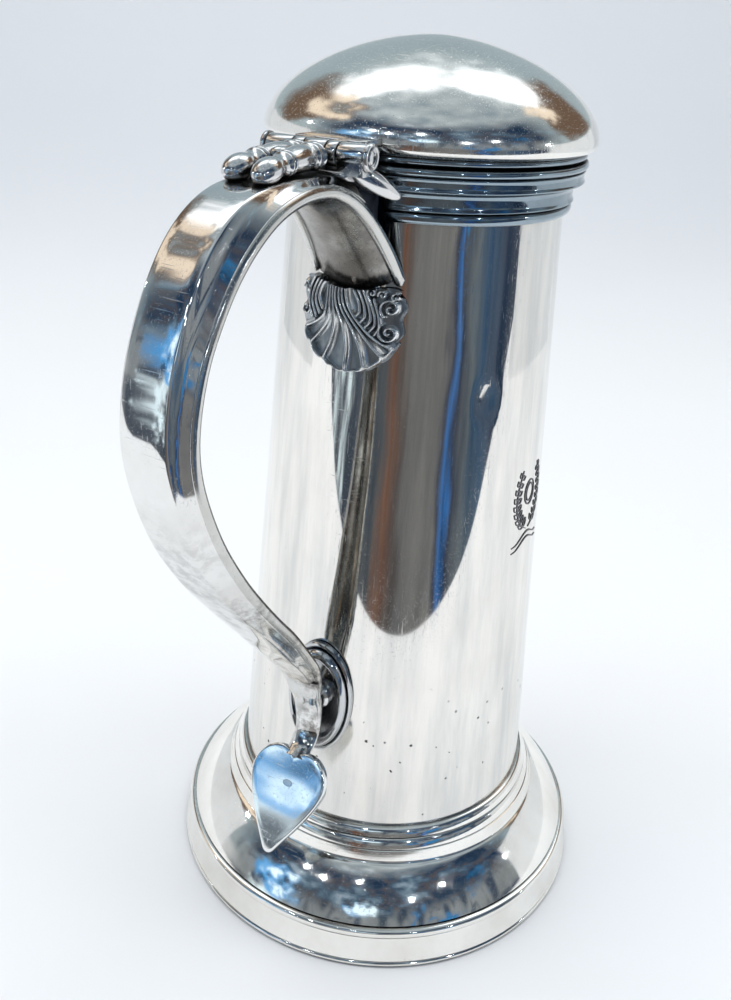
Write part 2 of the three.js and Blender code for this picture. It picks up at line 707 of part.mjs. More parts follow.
// The cast shell: a fan of lobes below, and a hollow upper edge that fits under the handle
function shellMount() {
  const corner = SHELL_HALF_WIDTH - 1.5;
  const shape = new THREE.Shape();
  shape.moveTo(corner, SHELL_HIGH);
  shape.quadraticCurveTo(0, SHELL_MIDDLE + 3.5, -corner, SHELL_HIGH);
  for (const t of fractions(SHELL_LOBES * 4)) {
    const angle = Math.PI * (1 + t);
    const wave = LOBE_DEPTH * (Math.abs(Math.sin(t * SHELL_LOBES * Math.PI)) - 1);
    const across = (SHELL_HALF_WIDTH + wave) * Math.cos(angle);
    const down = (SHELL_MIDDLE - SHELL_LOW + wave) * Math.sin(angle);
    shape.lineTo(across, SHELL_MIDDLE + down);
  }
  return toGeometry(plateOnBody(shape, GAP, SHELL_THICKNESS, SHELL_LOW - 4, SHELL_HIGH + 4));
}

// Assembly

const group = new THREE.Group();

function add(name, geometry, color, roughness) {
  const material = new THREE.MeshStandardMaterial({ color, roughness, metalness: 1 });
  const mesh = new THREE.Mesh(geometry, material);
  mesh.name = name;
  group.add(mesh);
}

const BRIGHT = 0xd9dcdf;
const WORN = 0xb9bbbc;
const DARK = 0x8f9294;

add('foot_edge_ring', footEdge(), WORN, 0.2);
add('foot_skirt', footSkirt(), BRIGHT, 0.12);
add('foot_lower_bead', footLowerBead(), BRIGHT, 0.12);
add('foot_dome', footDome(), BRIGHT, 0.1);
add('foot_second_bead', footSecondBead(), BRIGHT, 0.12);
add('foot_upper_bead', footUpperBead(), BRIGHT, 0.12);
add('body_barrel', bodyBarrel(), BRIGHT, 0.1);
add('body_floor', bodyFloor(), WORN, 0.3);
add('rim_bead', rimBand(RIM_BEAD_LOW, LOWER_BAND_LOW - GAP, 42.2, RIM_BEAD_RADIUS), BRIGHT, 0.12);
add('rim_band_lower', rimBand(LOWER_BAND_LOW, UPPER_BAND_LOW - GAP, 43.8, LOWER_BAND_RADIUS), BRIGHT, 0.12);
add('rim_band_upper', rimBand(UPPER_BAND_LOW, LIP_LOW - GAP, 46.2, UPPER_BAND_RADIUS), BRIGHT, 0.12);
add('lip_ring', lipRing(), BRIGHT, 0.12);
add('lid_flange', lidFlange(), WORN, 0.2);
add('lid_bezel', lidBezel(), WORN, 0.3);
add('lid_dome', lidDome(), BRIGHT, 0.1);
add('lid_hinge_leaf', lidLeaf(), WORN, 0.2);
add('hinge_bracket', hingeBracket(), WORN, 0.2);
add('hinge_pin', hingePin(), DARK, 0.3);
add('hinge_cap_left', hingeCap(-1), WORN, 0.2);
add('hinge_cap_right', hingeCap(1), WORN, 0.2);
add('handle_strap', handleStrap(), BRIGHT, 0.12);
add('handle_liner', handleLiner(), WORN, 0.25);
add('handle_bead_left', handleBead(-1), BRIGHT, 0.15);
add('handle_bead_right', handleBead(1), BRIGHT, 0.15);
add('handle_root', handleRoot(), WORN, 0.25);
add('volute_stem', voluteStem(), WORN, 0.2);
add('volute_left', volute(-1), BRIGHT, 0.12);
add('volute_right', volute(1), BRIGHT, 0.12);
add('handle_tail', handleTail(), BRIGHT, 0.15);
add('heart_terminal', heartTerminal(), BRIGHT, 0.12);
add('lower_joint_post', lowerPost(), DARK, 0.3);
add('boss_plate', bossPlate(), WORN, 0.2);
add('boss_ring', bossRing(), BRIGHT, 0.12);
add('shell_mount', shellMount(), DARK, 0.3);

export default group;
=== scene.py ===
"""The look of a lidded pewter tankard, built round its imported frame.

Metres, +Z up. The vessel's axis is the Z axis, the handle points along +X and the lid's pin runs along Y.
"""

from math import acos, cos, hypot, pi, radians, sin, sqrt

import bpy
import numpy as np
from mathutils import Matrix, Vector, noise


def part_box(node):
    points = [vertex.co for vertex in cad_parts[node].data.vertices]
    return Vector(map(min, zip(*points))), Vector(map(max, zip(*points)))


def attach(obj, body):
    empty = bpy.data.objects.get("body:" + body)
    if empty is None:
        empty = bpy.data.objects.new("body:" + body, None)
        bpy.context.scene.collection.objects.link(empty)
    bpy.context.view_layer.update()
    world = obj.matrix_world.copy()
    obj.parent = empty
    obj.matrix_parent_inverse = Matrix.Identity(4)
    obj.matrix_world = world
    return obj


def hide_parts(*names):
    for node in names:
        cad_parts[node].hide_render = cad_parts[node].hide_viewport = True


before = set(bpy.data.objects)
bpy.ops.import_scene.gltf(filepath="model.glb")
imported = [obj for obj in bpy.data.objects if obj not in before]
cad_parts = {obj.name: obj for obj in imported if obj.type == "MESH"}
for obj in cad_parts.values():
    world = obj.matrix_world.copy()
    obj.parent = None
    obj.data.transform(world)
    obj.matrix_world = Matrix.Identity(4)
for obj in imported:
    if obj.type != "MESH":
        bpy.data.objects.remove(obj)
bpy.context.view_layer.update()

MM = 0.001
SIDES = ((-1, "left"), (1, "right"))
TURNED_STEPS = 216  # facets round a turned piece
SMALL_STEPS = 56  # facets round a hinge part
HANDLE_STEPS = 150  # stations along the handle

# The body's taper, in mm
BODY_LOW = 34.9
BODY_TOP = 258.0
BODY_LOW_RADIUS = 53.13
BODY_TOP_RADIUS = 40.43
BODY_WALL = 1.6

# The hinge, in mm
PIN_LOW, PIN_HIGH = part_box("hinge_pin")
HINGE_X = (PIN_LOW.x + PIN_HIGH.x) / 2 / MM
HINGE_Z = (PIN_LOW.z + PIN_HIGH.z) / 2 / MM
LUG_RADIUS = 3.0
PIN_BORE = 1.3
BARREL_HALF = 14.0
LEAF_HALF = 9.5

# The handle's outer face from the hinge, and its inner edge from the body, in mm
OUTER = [
    (57, 256.3), (66.2, 257.2), (76, 257.8), (86, 257.9), (96.5, 256.9), (105, 253.8), (112.6, 248.4),
    (119, 240.8), (124.5, 231), (128.4, 220.5), (130.2, 207.5), (128.6, 196), (122, 178), (112, 161.8),
    (103.5, 151), (95, 141), (86.5, 131.2), (77.5, 120.5), (69.5, 111), (63.2, 101.5), (60, 92.5),
]
INNER = [
    (38, 223.5), (42.5, 229.5), (48.5, 237), (55, 243.6), (62, 248.8), (70, 252.1), (78, 252.9),
    (86, 252.1), (94, 249.6), (101.5, 245.2), (108.6, 239), (114.5, 231.5), (119.3, 223), (122.6, 210),
    (122, 199.5), (115.5, 182), (105.6, 165.5), (97, 154), (89, 144.3), (80, 134), (71.5, 123),
    (64.5, 113.5), (58.8, 104), (55.3, 92.5),
]
HALF_WIDTHS = [15, 12.8, 11.2, 10.8, 10.8, 10.7, 10.6, 10.4, 9.8, 8.6, 6.2]
BELLY = [3.2, 3.2, 2, 1.2, 0.8, 0.8, 0.8, 0.8, 0.8, 0.8, 0.8]
FACE_HALF = 6.5
BEAD = 1.8
WEB_TOP = 252.9

# The joint at the handle's lower end, in mm
BOSS_Z = 89.3
BOSS_HALF = (12, 20.7)
HEART_LEAN = radians(30)
HEART_CLEFT = Vector((65.5, 0, 74))
HEART_THICK = 3.2

# The cast shell, in mm
SHELL_HALF = 16.7
SHELL_LOW = 200.3
SHELL_MIDDLE = 216.0
SHELL_HIGH = 227.0

# The engraving's middle, on the body's right flank
ENGRAVING_AZIMUTH = radians(88)
ENGRAVING_Z = 157.0

# The lid's dome, in mm
LID_RADIUS = 48.67
LID_BASE = 263.1
LID_RISE = 25.4
LID_WALL = 1.4


# ---- outlines


def lerp(a, b, t):
    return a + (b - a) * t


def turn(count):
    """Evenly spaced angles of a full turn."""
    return [2 * pi * i / count for i in range(count)]


def toward(azimuth, distance, z):
    return Vector((distance * cos(azimuth), distance * sin(azimuth), z))


def body_radius(z):
    return lerp(BODY_LOW_RADIUS, BODY_TOP_RADIUS, (z - BODY_LOW) / (BODY_TOP - BODY_LOW))


def vessel_radius(z):
    """The outermost radius of the body and its rim mouldings at a height."""
    for low, radius in ((251.6, 46.9), (246.3, 44.0), (243.1, 43.4)):
        if z > low:
            return radius
    return body_radius(z)


def bezier(p0, p1, p2, p3, steps):
    """Points along a cubic curve, without its last."""
    points = []
    for i in range(steps):
        t = i / steps
        a, b, c, d = (1 - t) ** 3, 3 * t * (1 - t) ** 2, 3 * t * t * (1 - t), t ** 3
        points.append(tuple(a * p0[k] + b * p1[k] + c * p2[k] + d * p3[k] for k in (0, 1)))
    return points


def rounded(corners, steps=4):
    """A closed outline from corners of (x, y, fillet), with each corner eased by its fillet."""
    points = []
    count = len(corners)
    for i, (x, y, fillet) in enumerate(corners):
        here = Vector((x, y))
        if fillet <= 0:
            points.append((x, y))
            continue
        before = Vector(corners[i - 1][:2]) - here
        after = Vector(corners[(i + 1) % count][:2]) - here
        start = here + before.normalized() * min(fillet, before.length * 0.49)
        end = here + after.normalized() * min(fillet, after.length * 0.49)
        for k in range(steps + 1):
            t = k / steps
            p = start * (1 - t) ** 2 + here * 2 * t * (1 - t) + end * t * t
            points.append((p.x, p.y))
    return points


def hermite(t):
    """How much of the start, its slope, the end and its slope a smooth curve has at 0 to 1."""
    return 2 * t ** 3 - 3 * t * t + 1, t ** 3 - 2 * t * t + t, 3 * t * t - 2 * t ** 3, t ** 3 - t * t


def catmull(points, count):
    """Evenly spaced points along a smooth centripetal curve."""
    p = [Vector(q) for q in points]
    p = [2 * p[0] - p[1]] + p + [2 * p[-1] - p[-2]]
    dense = []
    for a, b, c, d in zip(p, p[1:], p[2:], p[3:]):
        d0, d1, d2 = ((v - u).length ** 0.5 for u, v in ((a, b), (b, c), (c, d)))
        t1 = ((b - a) / d0 - (c - a) / (d0 + d1) + (c - b) / d1) * d1
        t2 = ((c - b) / d1 - (d - b) / (d1 + d2) + (d - c) / d2) * d1
        for k in range(24):
            h = hermite(k / 24)
            dense.append(b * h[0] + t1 * h[1] + c * h[2] + t2 * h[3])
    dense.append(p[-2])
    lengths = [0.0]
    for u, v in zip(dense, dense[1:]):
        lengths.append(lengths[-1] + (v - u).length)
    spaced, j = [], 0
    for i in range(count + 1):
        want = lengths[-1] * i / count
        while j < len(lengths) - 2 and lengths[j + 1] < want:
            j += 1
        t = (want - lengths[j]) / (lengths[j + 1] - lengths[j])
        spaced.append(dense[j].lerp(dense[j + 1], min(max(t, 0), 1)))
    return spaced


def value_along(values, t):
    """A smooth value at 0 to 1 along evenly spaced values."""
    at = t * (len(values) - 1)
    i = min(int(at), len(values) - 2)
    a, b, c, d = (values[min(max(i + k, 0), len(values) - 1)] for k in (-1, 0, 1, 2))
    h = hermite(at - i)
    return h[0] * b + h[1] * (c - a) / 2 + h[2] * c + h[3] * (d - b) / 2


# ---- meshes


def added(name, data):
    """A new object in the scene."""
    obj = bpy.data.objects.new(name, data)
    bpy.context.scene.collection.objects.link(obj)
    return obj


def mesh_object(name, verts, faces, material):
    """A smooth mesh in the scene, from points in metres."""
    mesh = bpy.data.meshes.new(name)
    mesh.from_pydata(verts, [], faces)
    mesh.validate()
    mesh.polygons.foreach_set("use_smooth", [True] * len(mesh.polygons))
    mesh.materials.append(material)
    return added(name, mesh)


def make(name, verts, faces, material, body="vessel", slot="bright_pewter", sharp=35, nodes=()):
    """A piece from points in mm. It rides on a body and stands for the CAD nodes it is given."""
    piece = mesh_object(name, [Vector(v) * MM for v in verts], faces, material)
    piece.data.set_sharp_from_angle(angle=radians(sharp))
    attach(piece, body)
    if nodes:
        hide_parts(*nodes)
    return piece


def turned(outline, steps=TURNED_STEPS, wobble=0.0, seed=0.0):
    """A closed outline of (radius, height) turned about Z. Wobble makes it a little out of true."""
    verts, faces, rings = [], [], []
    for radius, z in outline:
        if radius < 1e-6:
            rings.append([len(verts)])
            verts.append((0.0, 0.0, z))
            continue
        ring = []
        for a in turn(steps):
            x, y = cos(a), sin(a)
            push = 0.0
            if wobble:
                push = wobble * noise.noise((x * 1.6 + seed, y * 1.6, z / 55))
                push += 0.35 * wobble * noise.noise((x * 4 + seed, y * 4, z / 22 + 7))
            ring.append(len(verts))
            verts.append(((radius + push) * x, (radius + push) * y, z))
        rings.append(ring)
    for low, high in zip(rings, rings[1:] + rings[:1]):
        if len(low) == 1 and len(high) == 1:
            continue
        for i in range(steps):
            j = (i + 1) % steps
            if len(low) == 1:
                faces.append((low[0], high[j], high[i]))
            elif len(high) == 1:
                faces.append((low[i], low[j], high[0]))
            else:
                faces.append((low[i], low[j], high[j], high[i]))
    return verts, faces


def band(corners):
    """A turned piece from corners of (radius, height, fillet)."""
    return turned(rounded(corners))


def about_pin(outline):
    """A turned piece about the hinge pin's axis, from an outline of (radius, y)."""
    verts, faces = turned(outline, SMALL_STEPS)
    placed = [(HINGE_X + x, z, HINGE_Z - y) for x, y, z in verts]
    return placed, [tuple(reversed(f)) for f in faces]


def lofted(rings, flip=False):
    """Points and faces through rings of as many points each, with flat ends."""
    verts = [v for ring in rings for v in ring]
    count = len(rings[0])
    faces = []
    for start in range(0, len(verts) - count, count):
        for i in range(count):
            a, b = start + i, start + (i + 1) % count
            faces.append((a, a + count, b + count, b) if flip else (a, b, b + count, a + count))
    first, last = range(count), range(len(verts) - count, len(verts))
    faces += [tuple(first), tuple(reversed(last))] if flip else [tuple(reversed(first)), tuple(last)]
    return verts, faces


def swept(stations):
    """Points and faces through stations of (point, across, out, section), with flat ends."""
    return lofted([[p + across * a + out * o for a, o in section] for p, across, out, section in stations])


def plane_stations(points):
    """Point, across and outward directions along a curve in the XZ plane."""
    found = []
    for i, p in enumerate(points):
        tangent = points[min(i + 1, len(points) - 1)] - points[max(i - 1, 0)]
        tangent.normalize()
        out = Vector((-tangent.y, 0, tangent.x))
        found.append((Vector((p.x, 0, p.y)), Vector((0, 1, 0)), out))
    return found


def joined(parts):
    """Several (verts, faces) as one."""
    verts, faces = [], []
    for more_verts, more_faces in parts:
        base = len(verts)
        verts.extend(Vector(v) for v in more_verts)
        faces.extend(tuple(i + base for i in f) for f in more_faces)
    return verts, faces


def kept_outside(verts, faces, sink=0.25):
    """A piece with any points inside the vessel moved out to just under its surface."""
    moved = []
    for v in verts:
        v = Vector(v)
        least = vessel_radius(v.z) - sink
        flat = hypot(v.x, v.y)
        if flat < least and v.z < BODY_TOP + 0.2:
            v.x, v.y = v.x * least / flat, v.y * least / flat
        moved.append(v)
    return moved, faces


def laid(outline, steps, height):
    """A turned piece laid along X, at a height, from an outline of (radius, x)."""
    verts, faces = turned(outline, steps)
    return [Vector((x, y, height - z)) for z, y, x in verts], faces


def oval(across, out, half_across, half_out, corners):
    """An oval section about a middle, anticlockwise."""
    return [(across + half_across * cos(a), out + half_out * sin(a)) for a in turn(corners)]


def ball(radii, rings=24, steps=40):
    """A smooth oval ball about the origin."""
    waist = [(sin(a), -cos(a)) for a in (pi * i / rings for i in range(1, rings))]
    verts, faces = turned([(0, -1), *waist, (0, 1)], steps)
    return [Vector((x * radii[0], y * radii[1], z * radii[2])) for x, y, z in verts], faces


# ---- materials


class Nodes:
    """A short way to write a node tree."""

    def __init__(self, tree):
        self.tree = tree
        tree.nodes.clear()

    def add(self, kind, inputs=None, **settings):
        node = self.tree.nodes.new("ShaderNode" + kind)
        for key, value in settings.items():
            setattr(node, key, value)
        for key, value in (inputs or {}).items():
            self.set(node.inputs[key], value)
        return node

    def set(self, socket, value):
        if isinstance(value, bpy.types.NodeSocket):
            self.tree.links.new(value, socket)
        else:
            socket.default_value = value

    def math(self, operation, *values, kind="Math", output=0):
        node = self.add(kind, operation=operation)
        for socket, value in zip(node.inputs, values):
            self.set(socket, value)
        return node.outputs[output]

    def plus(self, a, b):
        return self.math("ADD", a, b)

    def times(self, a, b):
        return self.math("MULTIPLY", a, b)

    def about_zero(self, value, reach):
        """A value of 0 to 1 as one that swings about zero."""
        return self.times(self.math("SUBTRACT", value, 0.5), reach)

    def mix(self, factor, a, b):
        node = self.add("Mix", data_type="RGBA")
        for socket, value in ((node.inputs[0], factor), (node.inputs[6], a), (node.inputs[7], b)):
            self.set(socket, value)
        return node.outputs[2]

    def ramp(self, value, stops):
        """Stops of (place, grey or colour)."""
        node = self.add("ValToRGB", {"Fac": value})
        points = node.color_ramp.elements
        while len(points) < len(stops):
            points.new(0.5)
        for point, (place, shade) in zip(points, stops):
            point.position = place
            point.color = (*shade, 1) if isinstance(shade, tuple) else (shade, shade, shade, 1)
        return node.outputs[0]

    def noise(self, vector, scale, detail=3.0, roughness=0.5):
        settings = {"Vector": vector, "Scale": scale, "Detail": detail, "Roughness": roughness}
        return self.add("TexNoise", settings).outputs[0]

    def mapping(self, vector, scale, rotation=(0, 0, 0)):
        settings = {"Vector": vector, "Scale": scale, "Rotation": rotation}
        return self.add("Mapping", settings).outputs[0]

    def level(self, vector):
        return self.add("SeparateXYZ", {"Vector": vector}).outputs[2]


SOIL = (0.15, 0.135, 0.12, 1)


def surface(name):
    """A new material, its nodes and the places on its object."""
    material = bpy.data.materials.new(name)
    material.use_nodes = True
    n = Nodes(material.node_tree)
    return material, n, n.add("TexCoord").outputs["Object"]


def shine(n, inputs):
    shader = n.add("BsdfPrincipled", inputs)
    n.add("OutputMaterial", {"Surface": shader.outputs[0]})


def scratches(n, coords):
    """Fine straight scratches in three directions: long thin streaks of noise, cut to their peaks."""
    marks = []
    for scale, rotation, width in (
        ((2600, 2600, 70), (0.3, 0.1, 0.5), 0.15),
        ((90, 3000, 3000), (0.7, 0.5, 0.2), 0.17),
        ((2400, 80, 2400), (0.2, 0.9, 1.1), 0.17),
    ):
        streaks = n.noise(n.mapping(coords, scale, rotation), 1.0, 2.0, 0.6)
        marks.append(n.ramp(streaks, [(0.5 + width, 0.0), (0.56 + width, 1.0)]))
    return n.math("MAXIMUM", n.math("MAXIMUM", marks[0], marks[1]), marks[2])


def soil(n, coords, colour):
    """Dirt in small flecks, thicker towards the handle's lower end."""
    below = n.ramp(n.times(n.level(coords), 5.0), [(0.62, 1.0), (1.0, 0.0)])
    flecks = n.ramp(n.noise(coords, 230.0, 5.0, 0.7), [(0.42, 0.0), (0.60, 0.9)])
    flecks = n.times(flecks, n.ramp(n.noise(coords, 48.0, 2.0), [(0.42, 0.15), (0.58, 1.0)]))
    return n.mix(n.times(below, flecks), colour, SOIL)


def pit(n, coords, bloom, colour, rough, height):
    """Faint upright streaks, and dark pits and a duller face towards the bottom."""
    cells = n.add("TexVoronoi", {"Vector": coords, "Scale": 190.0})
    spot = n.ramp(n.plus(cells.outputs["Distance"], n.times(bloom, 0.12)), [(0.13, 1.0), (0.2, 0.0)])
    streaks = n.noise(n.mapping(coords, (170, 170, 14)), 1.0, 4.0, 0.65)
    colour = n.mix(n.ramp(streaks, [(0.38, 0.0), (0.68, 0.6)]), colour, (0.60, 0.60, 0.59, 1))
    chosen = n.ramp(n.noise(coords, 300.0, 1.0), [(0.535, 0.0), (0.55, 1.0)])
    low = n.ramp(n.times(n.level(coords), 10.0), [(0.75, 1.0), (1.15, 0.06)])
    spots = n.times(n.times(spot, chosen), low)
    colour = n.mix(n.times(spots, 0.9), colour, (0.03, 0.028, 0.03, 1))
    rough = n.plus(n.plus(rough, n.times(low, 0.10)), n.times(spots, 0.5))
    return colour, rough, n.math("SUBTRACT", height, spots)


def metal(name, tint, gloss, tarnish_and_shade=1.0, shade_and_tarnish_colour=(0.05, 0.045, 0.04), reach=0.003, wear=0.8,
          pits=False, turned_marks=False, cast=False, soiled=False, clouded=False):
    """Polished pewter: cloudy gloss, fine scratches, and dark tarnished blooms, with painted shade from ambient
    occlusion in its corners and creases.
    """
    material, n, coords = surface(name)
    clouds = n.noise(coords, 38.0, 5.0, 0.6)
    bloom = n.noise(n.mapping(coords, (1, 1, 0.35)), 140.0, 4.0, 0.65)
    patches = n.ramp(clouds, [(0.42, 0.0), (0.72, 1.0)])
    light = tuple(min(c * 1.06, 1.0) for c in tint)
    dull = tuple(c * f for c, f in zip(tint, (0.80, 0.775, 0.74)))
    colour = n.mix(n.times(patches, 0.5 * tarnish_and_shade + 0.12), (*light, 1), (*dull, 1))
    # Painted shade: ambient occlusion darkens corners and creases, and noise blooms mix tarnished patches into
    # it
    occlusion = n.add("AmbientOcclusion", {"Distance": reach}, samples=6, only_local=False)
    corner = n.math("SUBTRACT", 1.0, occlusion.outputs["AO"])
    corner_shade_and_bloom = n.plus(corner, n.about_zero(bloom, 0.35))
    dark = n.times(n.ramp(corner_shade_and_bloom, [(0.24, 0.0), (0.62, 1.0)]), tarnish_and_shade)
    # Painted shade: on cast work the low parts of the relief are darkened
    if cast:
        relief = n.add("Attribute", attribute_name="relief").outputs["Fac"]
        recess_shade = n.plus(relief, n.about_zero(bloom, 0.5))
        dark = n.math("MAXIMUM", dark, n.ramp(recess_shade, [(0.1, 0.75), (0.42, 0.0)]))
    if soiled:
        colour = soil(n, coords, colour)
    if clouded:
        # Dark clouds of noise over the surface
        dark_clouds = n.ramp(n.noise(coords, 75.0, 6.0, 0.62), [(0.34, 0.1), (0.48, 0.75), (0.62, 1.0)])
        colour = n.mix(dark_clouds, colour, SOIL)
    colour = n.mix(dark, colour, (*shade_and_tarnish_colour, 1))
    marks = scratches(n, coords)
    height = n.times(marks, -0.6 * wear)
    if turned_marks:
        rings = n.noise(n.mapping(coords, (4, 4, 3200)), 1.0, 3.0, 0.6)
        height = n.plus(height, n.times(rings, 0.5 * wear))
    rough = gloss
    for value, share in ((bloom, 0.08 * wear), (patches, 0.05 * wear), (marks, 0.3 * wear), (dark, 0.35)):
        rough = n.plus(rough, n.times(value, share))
    if pits:
        colour, rough, height = pit(n, coords, bloom, colour, rough, height)
    bump = n.add("Bump", {"Height": height, "Strength": 0.35, "Distance": 0.00004})
    shine(n, {"Base Color": colour, "Metallic": 1.0, "Roughness": rough, "Normal": bump.outputs[0]})
    return material


def plain(name, colour):
    """A matt stage surface with a very faint unevenness."""
    material, n, coords = surface(name)
    tone = n.mix(n.noise(coords, 3.0, 2.0), (*colour, 1), (*(c * 0.97 for c in colour), 1))
    shine(n, {"Base Color": tone, "Roughness": 0.9, "Specular IOR Level": 0.1})
    return material


SILVER = (0.90, 0.88, 0.835)
# A cold blue-black for the painted shade, with tarnished blooms, in the boss's grooves
COLD_SHADE_AND_TARNISH = (0.015, 0.02, 0.03)
BODY_METAL = metal("body_metal", (0.87, 0.84, 0.79), 0.015, tarnish_and_shade=0.3, wear=0.45, pits=True)
LID_METAL = metal("lid_metal", SILVER, 0.05, tarnish_and_shade=0.3, wear=1.1)
FOOT_METAL = metal("foot_metal", SILVER, 0.04, wear=0.6, turned_marks=True, reach=0.005)
BOSS_METAL = metal("boss_metal", (0.58, 0.59, 0.60), 0.06, wear=0.7, shade_and_tarnish_colour=COLD_SHADE_AND_TARNISH, reach=0.006)
# Painted shade and reflection: a dark blue-grey tint stands for the dark, bluish look of the rim mouldings and
# the lid's flange
RIM_SHADED_METAL = metal("rim_painted_shade", (0.31, 0.38, 0.43), 0.06, wear=0.6, turned_marks=True, reach=0.005)
HANDLE_METAL = metal("handle_metal", (0.82, 0.81, 0.79), 0.04, tarnish_and_shade=0.8, wear=0.6, reach=0.005, soiled=True)
ROLL_METAL = metal("roll_metal", (0.64, 0.63, 0.60), 0.12, wear=0.9, reach=0.006, soiled=True)
HEART_METAL = metal("heart_metal", (0.86, 0.87, 0.87), 0.05, tarnish_and_shade=0.7)
# Painted shade: a darkened tint stands for the shade on the handle's underside
LINER_SHADED_METAL = metal("liner_painted_shade", (0.46, 0.45, 0.42), 0.15, wear=1.0, reach=0.004, clouded=True)
# Painted shade: a near-black navy metal stands for the shadow between the handle's arch and the rim
WEB_SHADE_METAL = metal("web_painted_shade", (0.24, 0.26, 0.30), 0.25, shade_and_tarnish_colour=(0.01, 0.014, 0.025), reach=0.012)
HINGE_METAL = metal("hinge_metal", (0.72, 0.71, 0.7), 0.07)
CAST_METAL = metal("cast_metal", (0.66, 0.66, 0.66), 0.16, wear=0.9, shade_and_tarnish_colour=(0.02, 0.022, 0.026), reach=0.0022)
INSIDE_METAL = metal("inside_metal", (0.50, 0.50, 0.47), 0.28, tarnish_and_shade=0.6, wear=1.0)
# The shell's slate blue-black is the colour of the painted shade in its recesses
SHELL_METAL = metal("shell_metal", (0.86, 0.87, 0.87), 0.13, tarnish_and_shade=0.8, wear=0.7, shade_and_tarnish_colour=(0.06, 0.09, 0.12),
                    reach=0.0012, cast=True)
ENGRAVED = metal("engraved_metal", (0.2, 0.2, 0.21), 0.4, wear=1.0)


# ---- foot


def make_foot():
    edge = band([(73.4, 0.05, 0.3), (76.2, 0.05, 0.8), (77.0, 1.15, 1.0), (76.2, 2.35, 0.8), (73.4, 2.35, 0.3)])
    make("foot_edge", *edge, FOOT_METAL, slot="worn_pewter", nodes=["foot_edge_ring"])
    skirt = [(74.0, 2.35), (76.0, 2.35)]
    skirt += bezier((76.35, 2.7), (75.2, 5.2), (74.4, 8.0), (74.0, 10.6), 14)
    skirt += [(74.0, 10.6), (73.8, 11.0), (73.4, 11.2), (71.8, 11.2)]
    skirt += bezier((71.9, 10.6), (72.4, 8.0), (73.2, 5.2), (74.3, 2.7), 8)
    make("foot_skirt_wall", *turned(skirt, wobble=0.1, seed=3), FOOT_METAL, nodes=["foot_skirt"])
    bead = [(71.2, 11.3), (73.2, 11.3)]
    bead += bezier((73.2, 11.4), (75.4, 11.3), (75.4, 14.9), (73.2, 14.8), 14)
    bead += [(73.2, 14.8), (71.2, 14.8)]
    make("foot_bead", *turned(bead), FOOT_METAL, nodes=["foot_lower_bead"])
    dome = [(70.9, 15.0), (72.0, 15.0), (72.45, 15.15), (72.6, 15.4)]
    dome += bezier((72.6, 15.4), (70.2, 19.6), (66.0, 25.4), (60.2, 29.8), 32)
    dome += bezier((60.2, 29.8), (59.6, 30.2), (59.2, 30.2), (59.0, 30.6), 5)
    dome += bezier((59.0, 30.6), (58.6, 31.8), (58.2, 33.0), (57.7, 34.4), 6)
    dome += [(57.7, 34.4), (57.1, 34.7), (46.0, 34.7), (46.0, 33.0), (55.4, 33.0)]
    dome += bezier((55.9, 32.6), (57.2, 30.4), (57.4, 28.6), (58.8, 28.0), 6)
    dome += bezier((58.8, 28.0), (64.0, 25.4), (67.6, 20.2), (70.9, 15.4), 16)
    make("foot_dome_wall", *turned(dome, wobble=0.12, seed=9), FOOT_METAL, nodes=["foot_dome"])
    second = [(53.2, 34.8), (57.3, 34.8)]
    second += bezier((57.4, 34.9), (56.9, 36.4), (56.3, 38.0), (55.0, 38.35), 14)
    second += [(54.9, 38.45), (54.7, 38.75), (53.0, 38.75)]
    make("foot_bead_two", *turned(second), FOOT_METAL, nodes=["foot_second_bead"])
    third = [(52.9, 38.75), (55.6, 38.75)]
    third += bezier((55.7, 38.85), (55.3, 40.0), (54.9, 41.3), (53.7, 41.7), 12)
    third += [(53.3, 41.75), (52.7, 41.7)]
    make("foot_bead_three", *turned(third), FOOT_METAL, nodes=["foot_upper_bead"])


# ---- body and rim


def make_body():
    steps = 64
    levels = [lerp(BODY_LOW, BODY_TOP, i / steps) for i in range(steps + 1)]
    outline = [(body_radius(z), z) for z in levels]
    outline += [(radius - BODY_WALL, z) for radius, z in reversed(outline)]
    verts, faces = turned(outline, wobble=0.14, seed=1)
    make("body_wall", dented(verts), faces, BODY_METAL, nodes=["body_barrel"])
    floor = band([(0, 35.0, 0), (51.2, 35.0, 0.2), (51.2, 36.3, 0.3), (48.5, 36.5, 0.6), (0, 36.5, 0)])
    make("body_floor_disc", *floor, INSIDE_METAL, slot="worn_pewter", nodes=["body_floor"])


def dented(verts, centre=Vector((24.5, 36.6, 194.3)), radius=5.5, depth=0.75):
    """A shallow dent in the body's right flank."""
    moved = []
    for v in verts:
        v = Vector(v)
        away = (v - centre).length / radius
        if away < 1:
            v -= Vector((v.x, v.y, 0)).normalized() * depth * (1 - away * away) ** 2
        moved.append(v)
    return moved


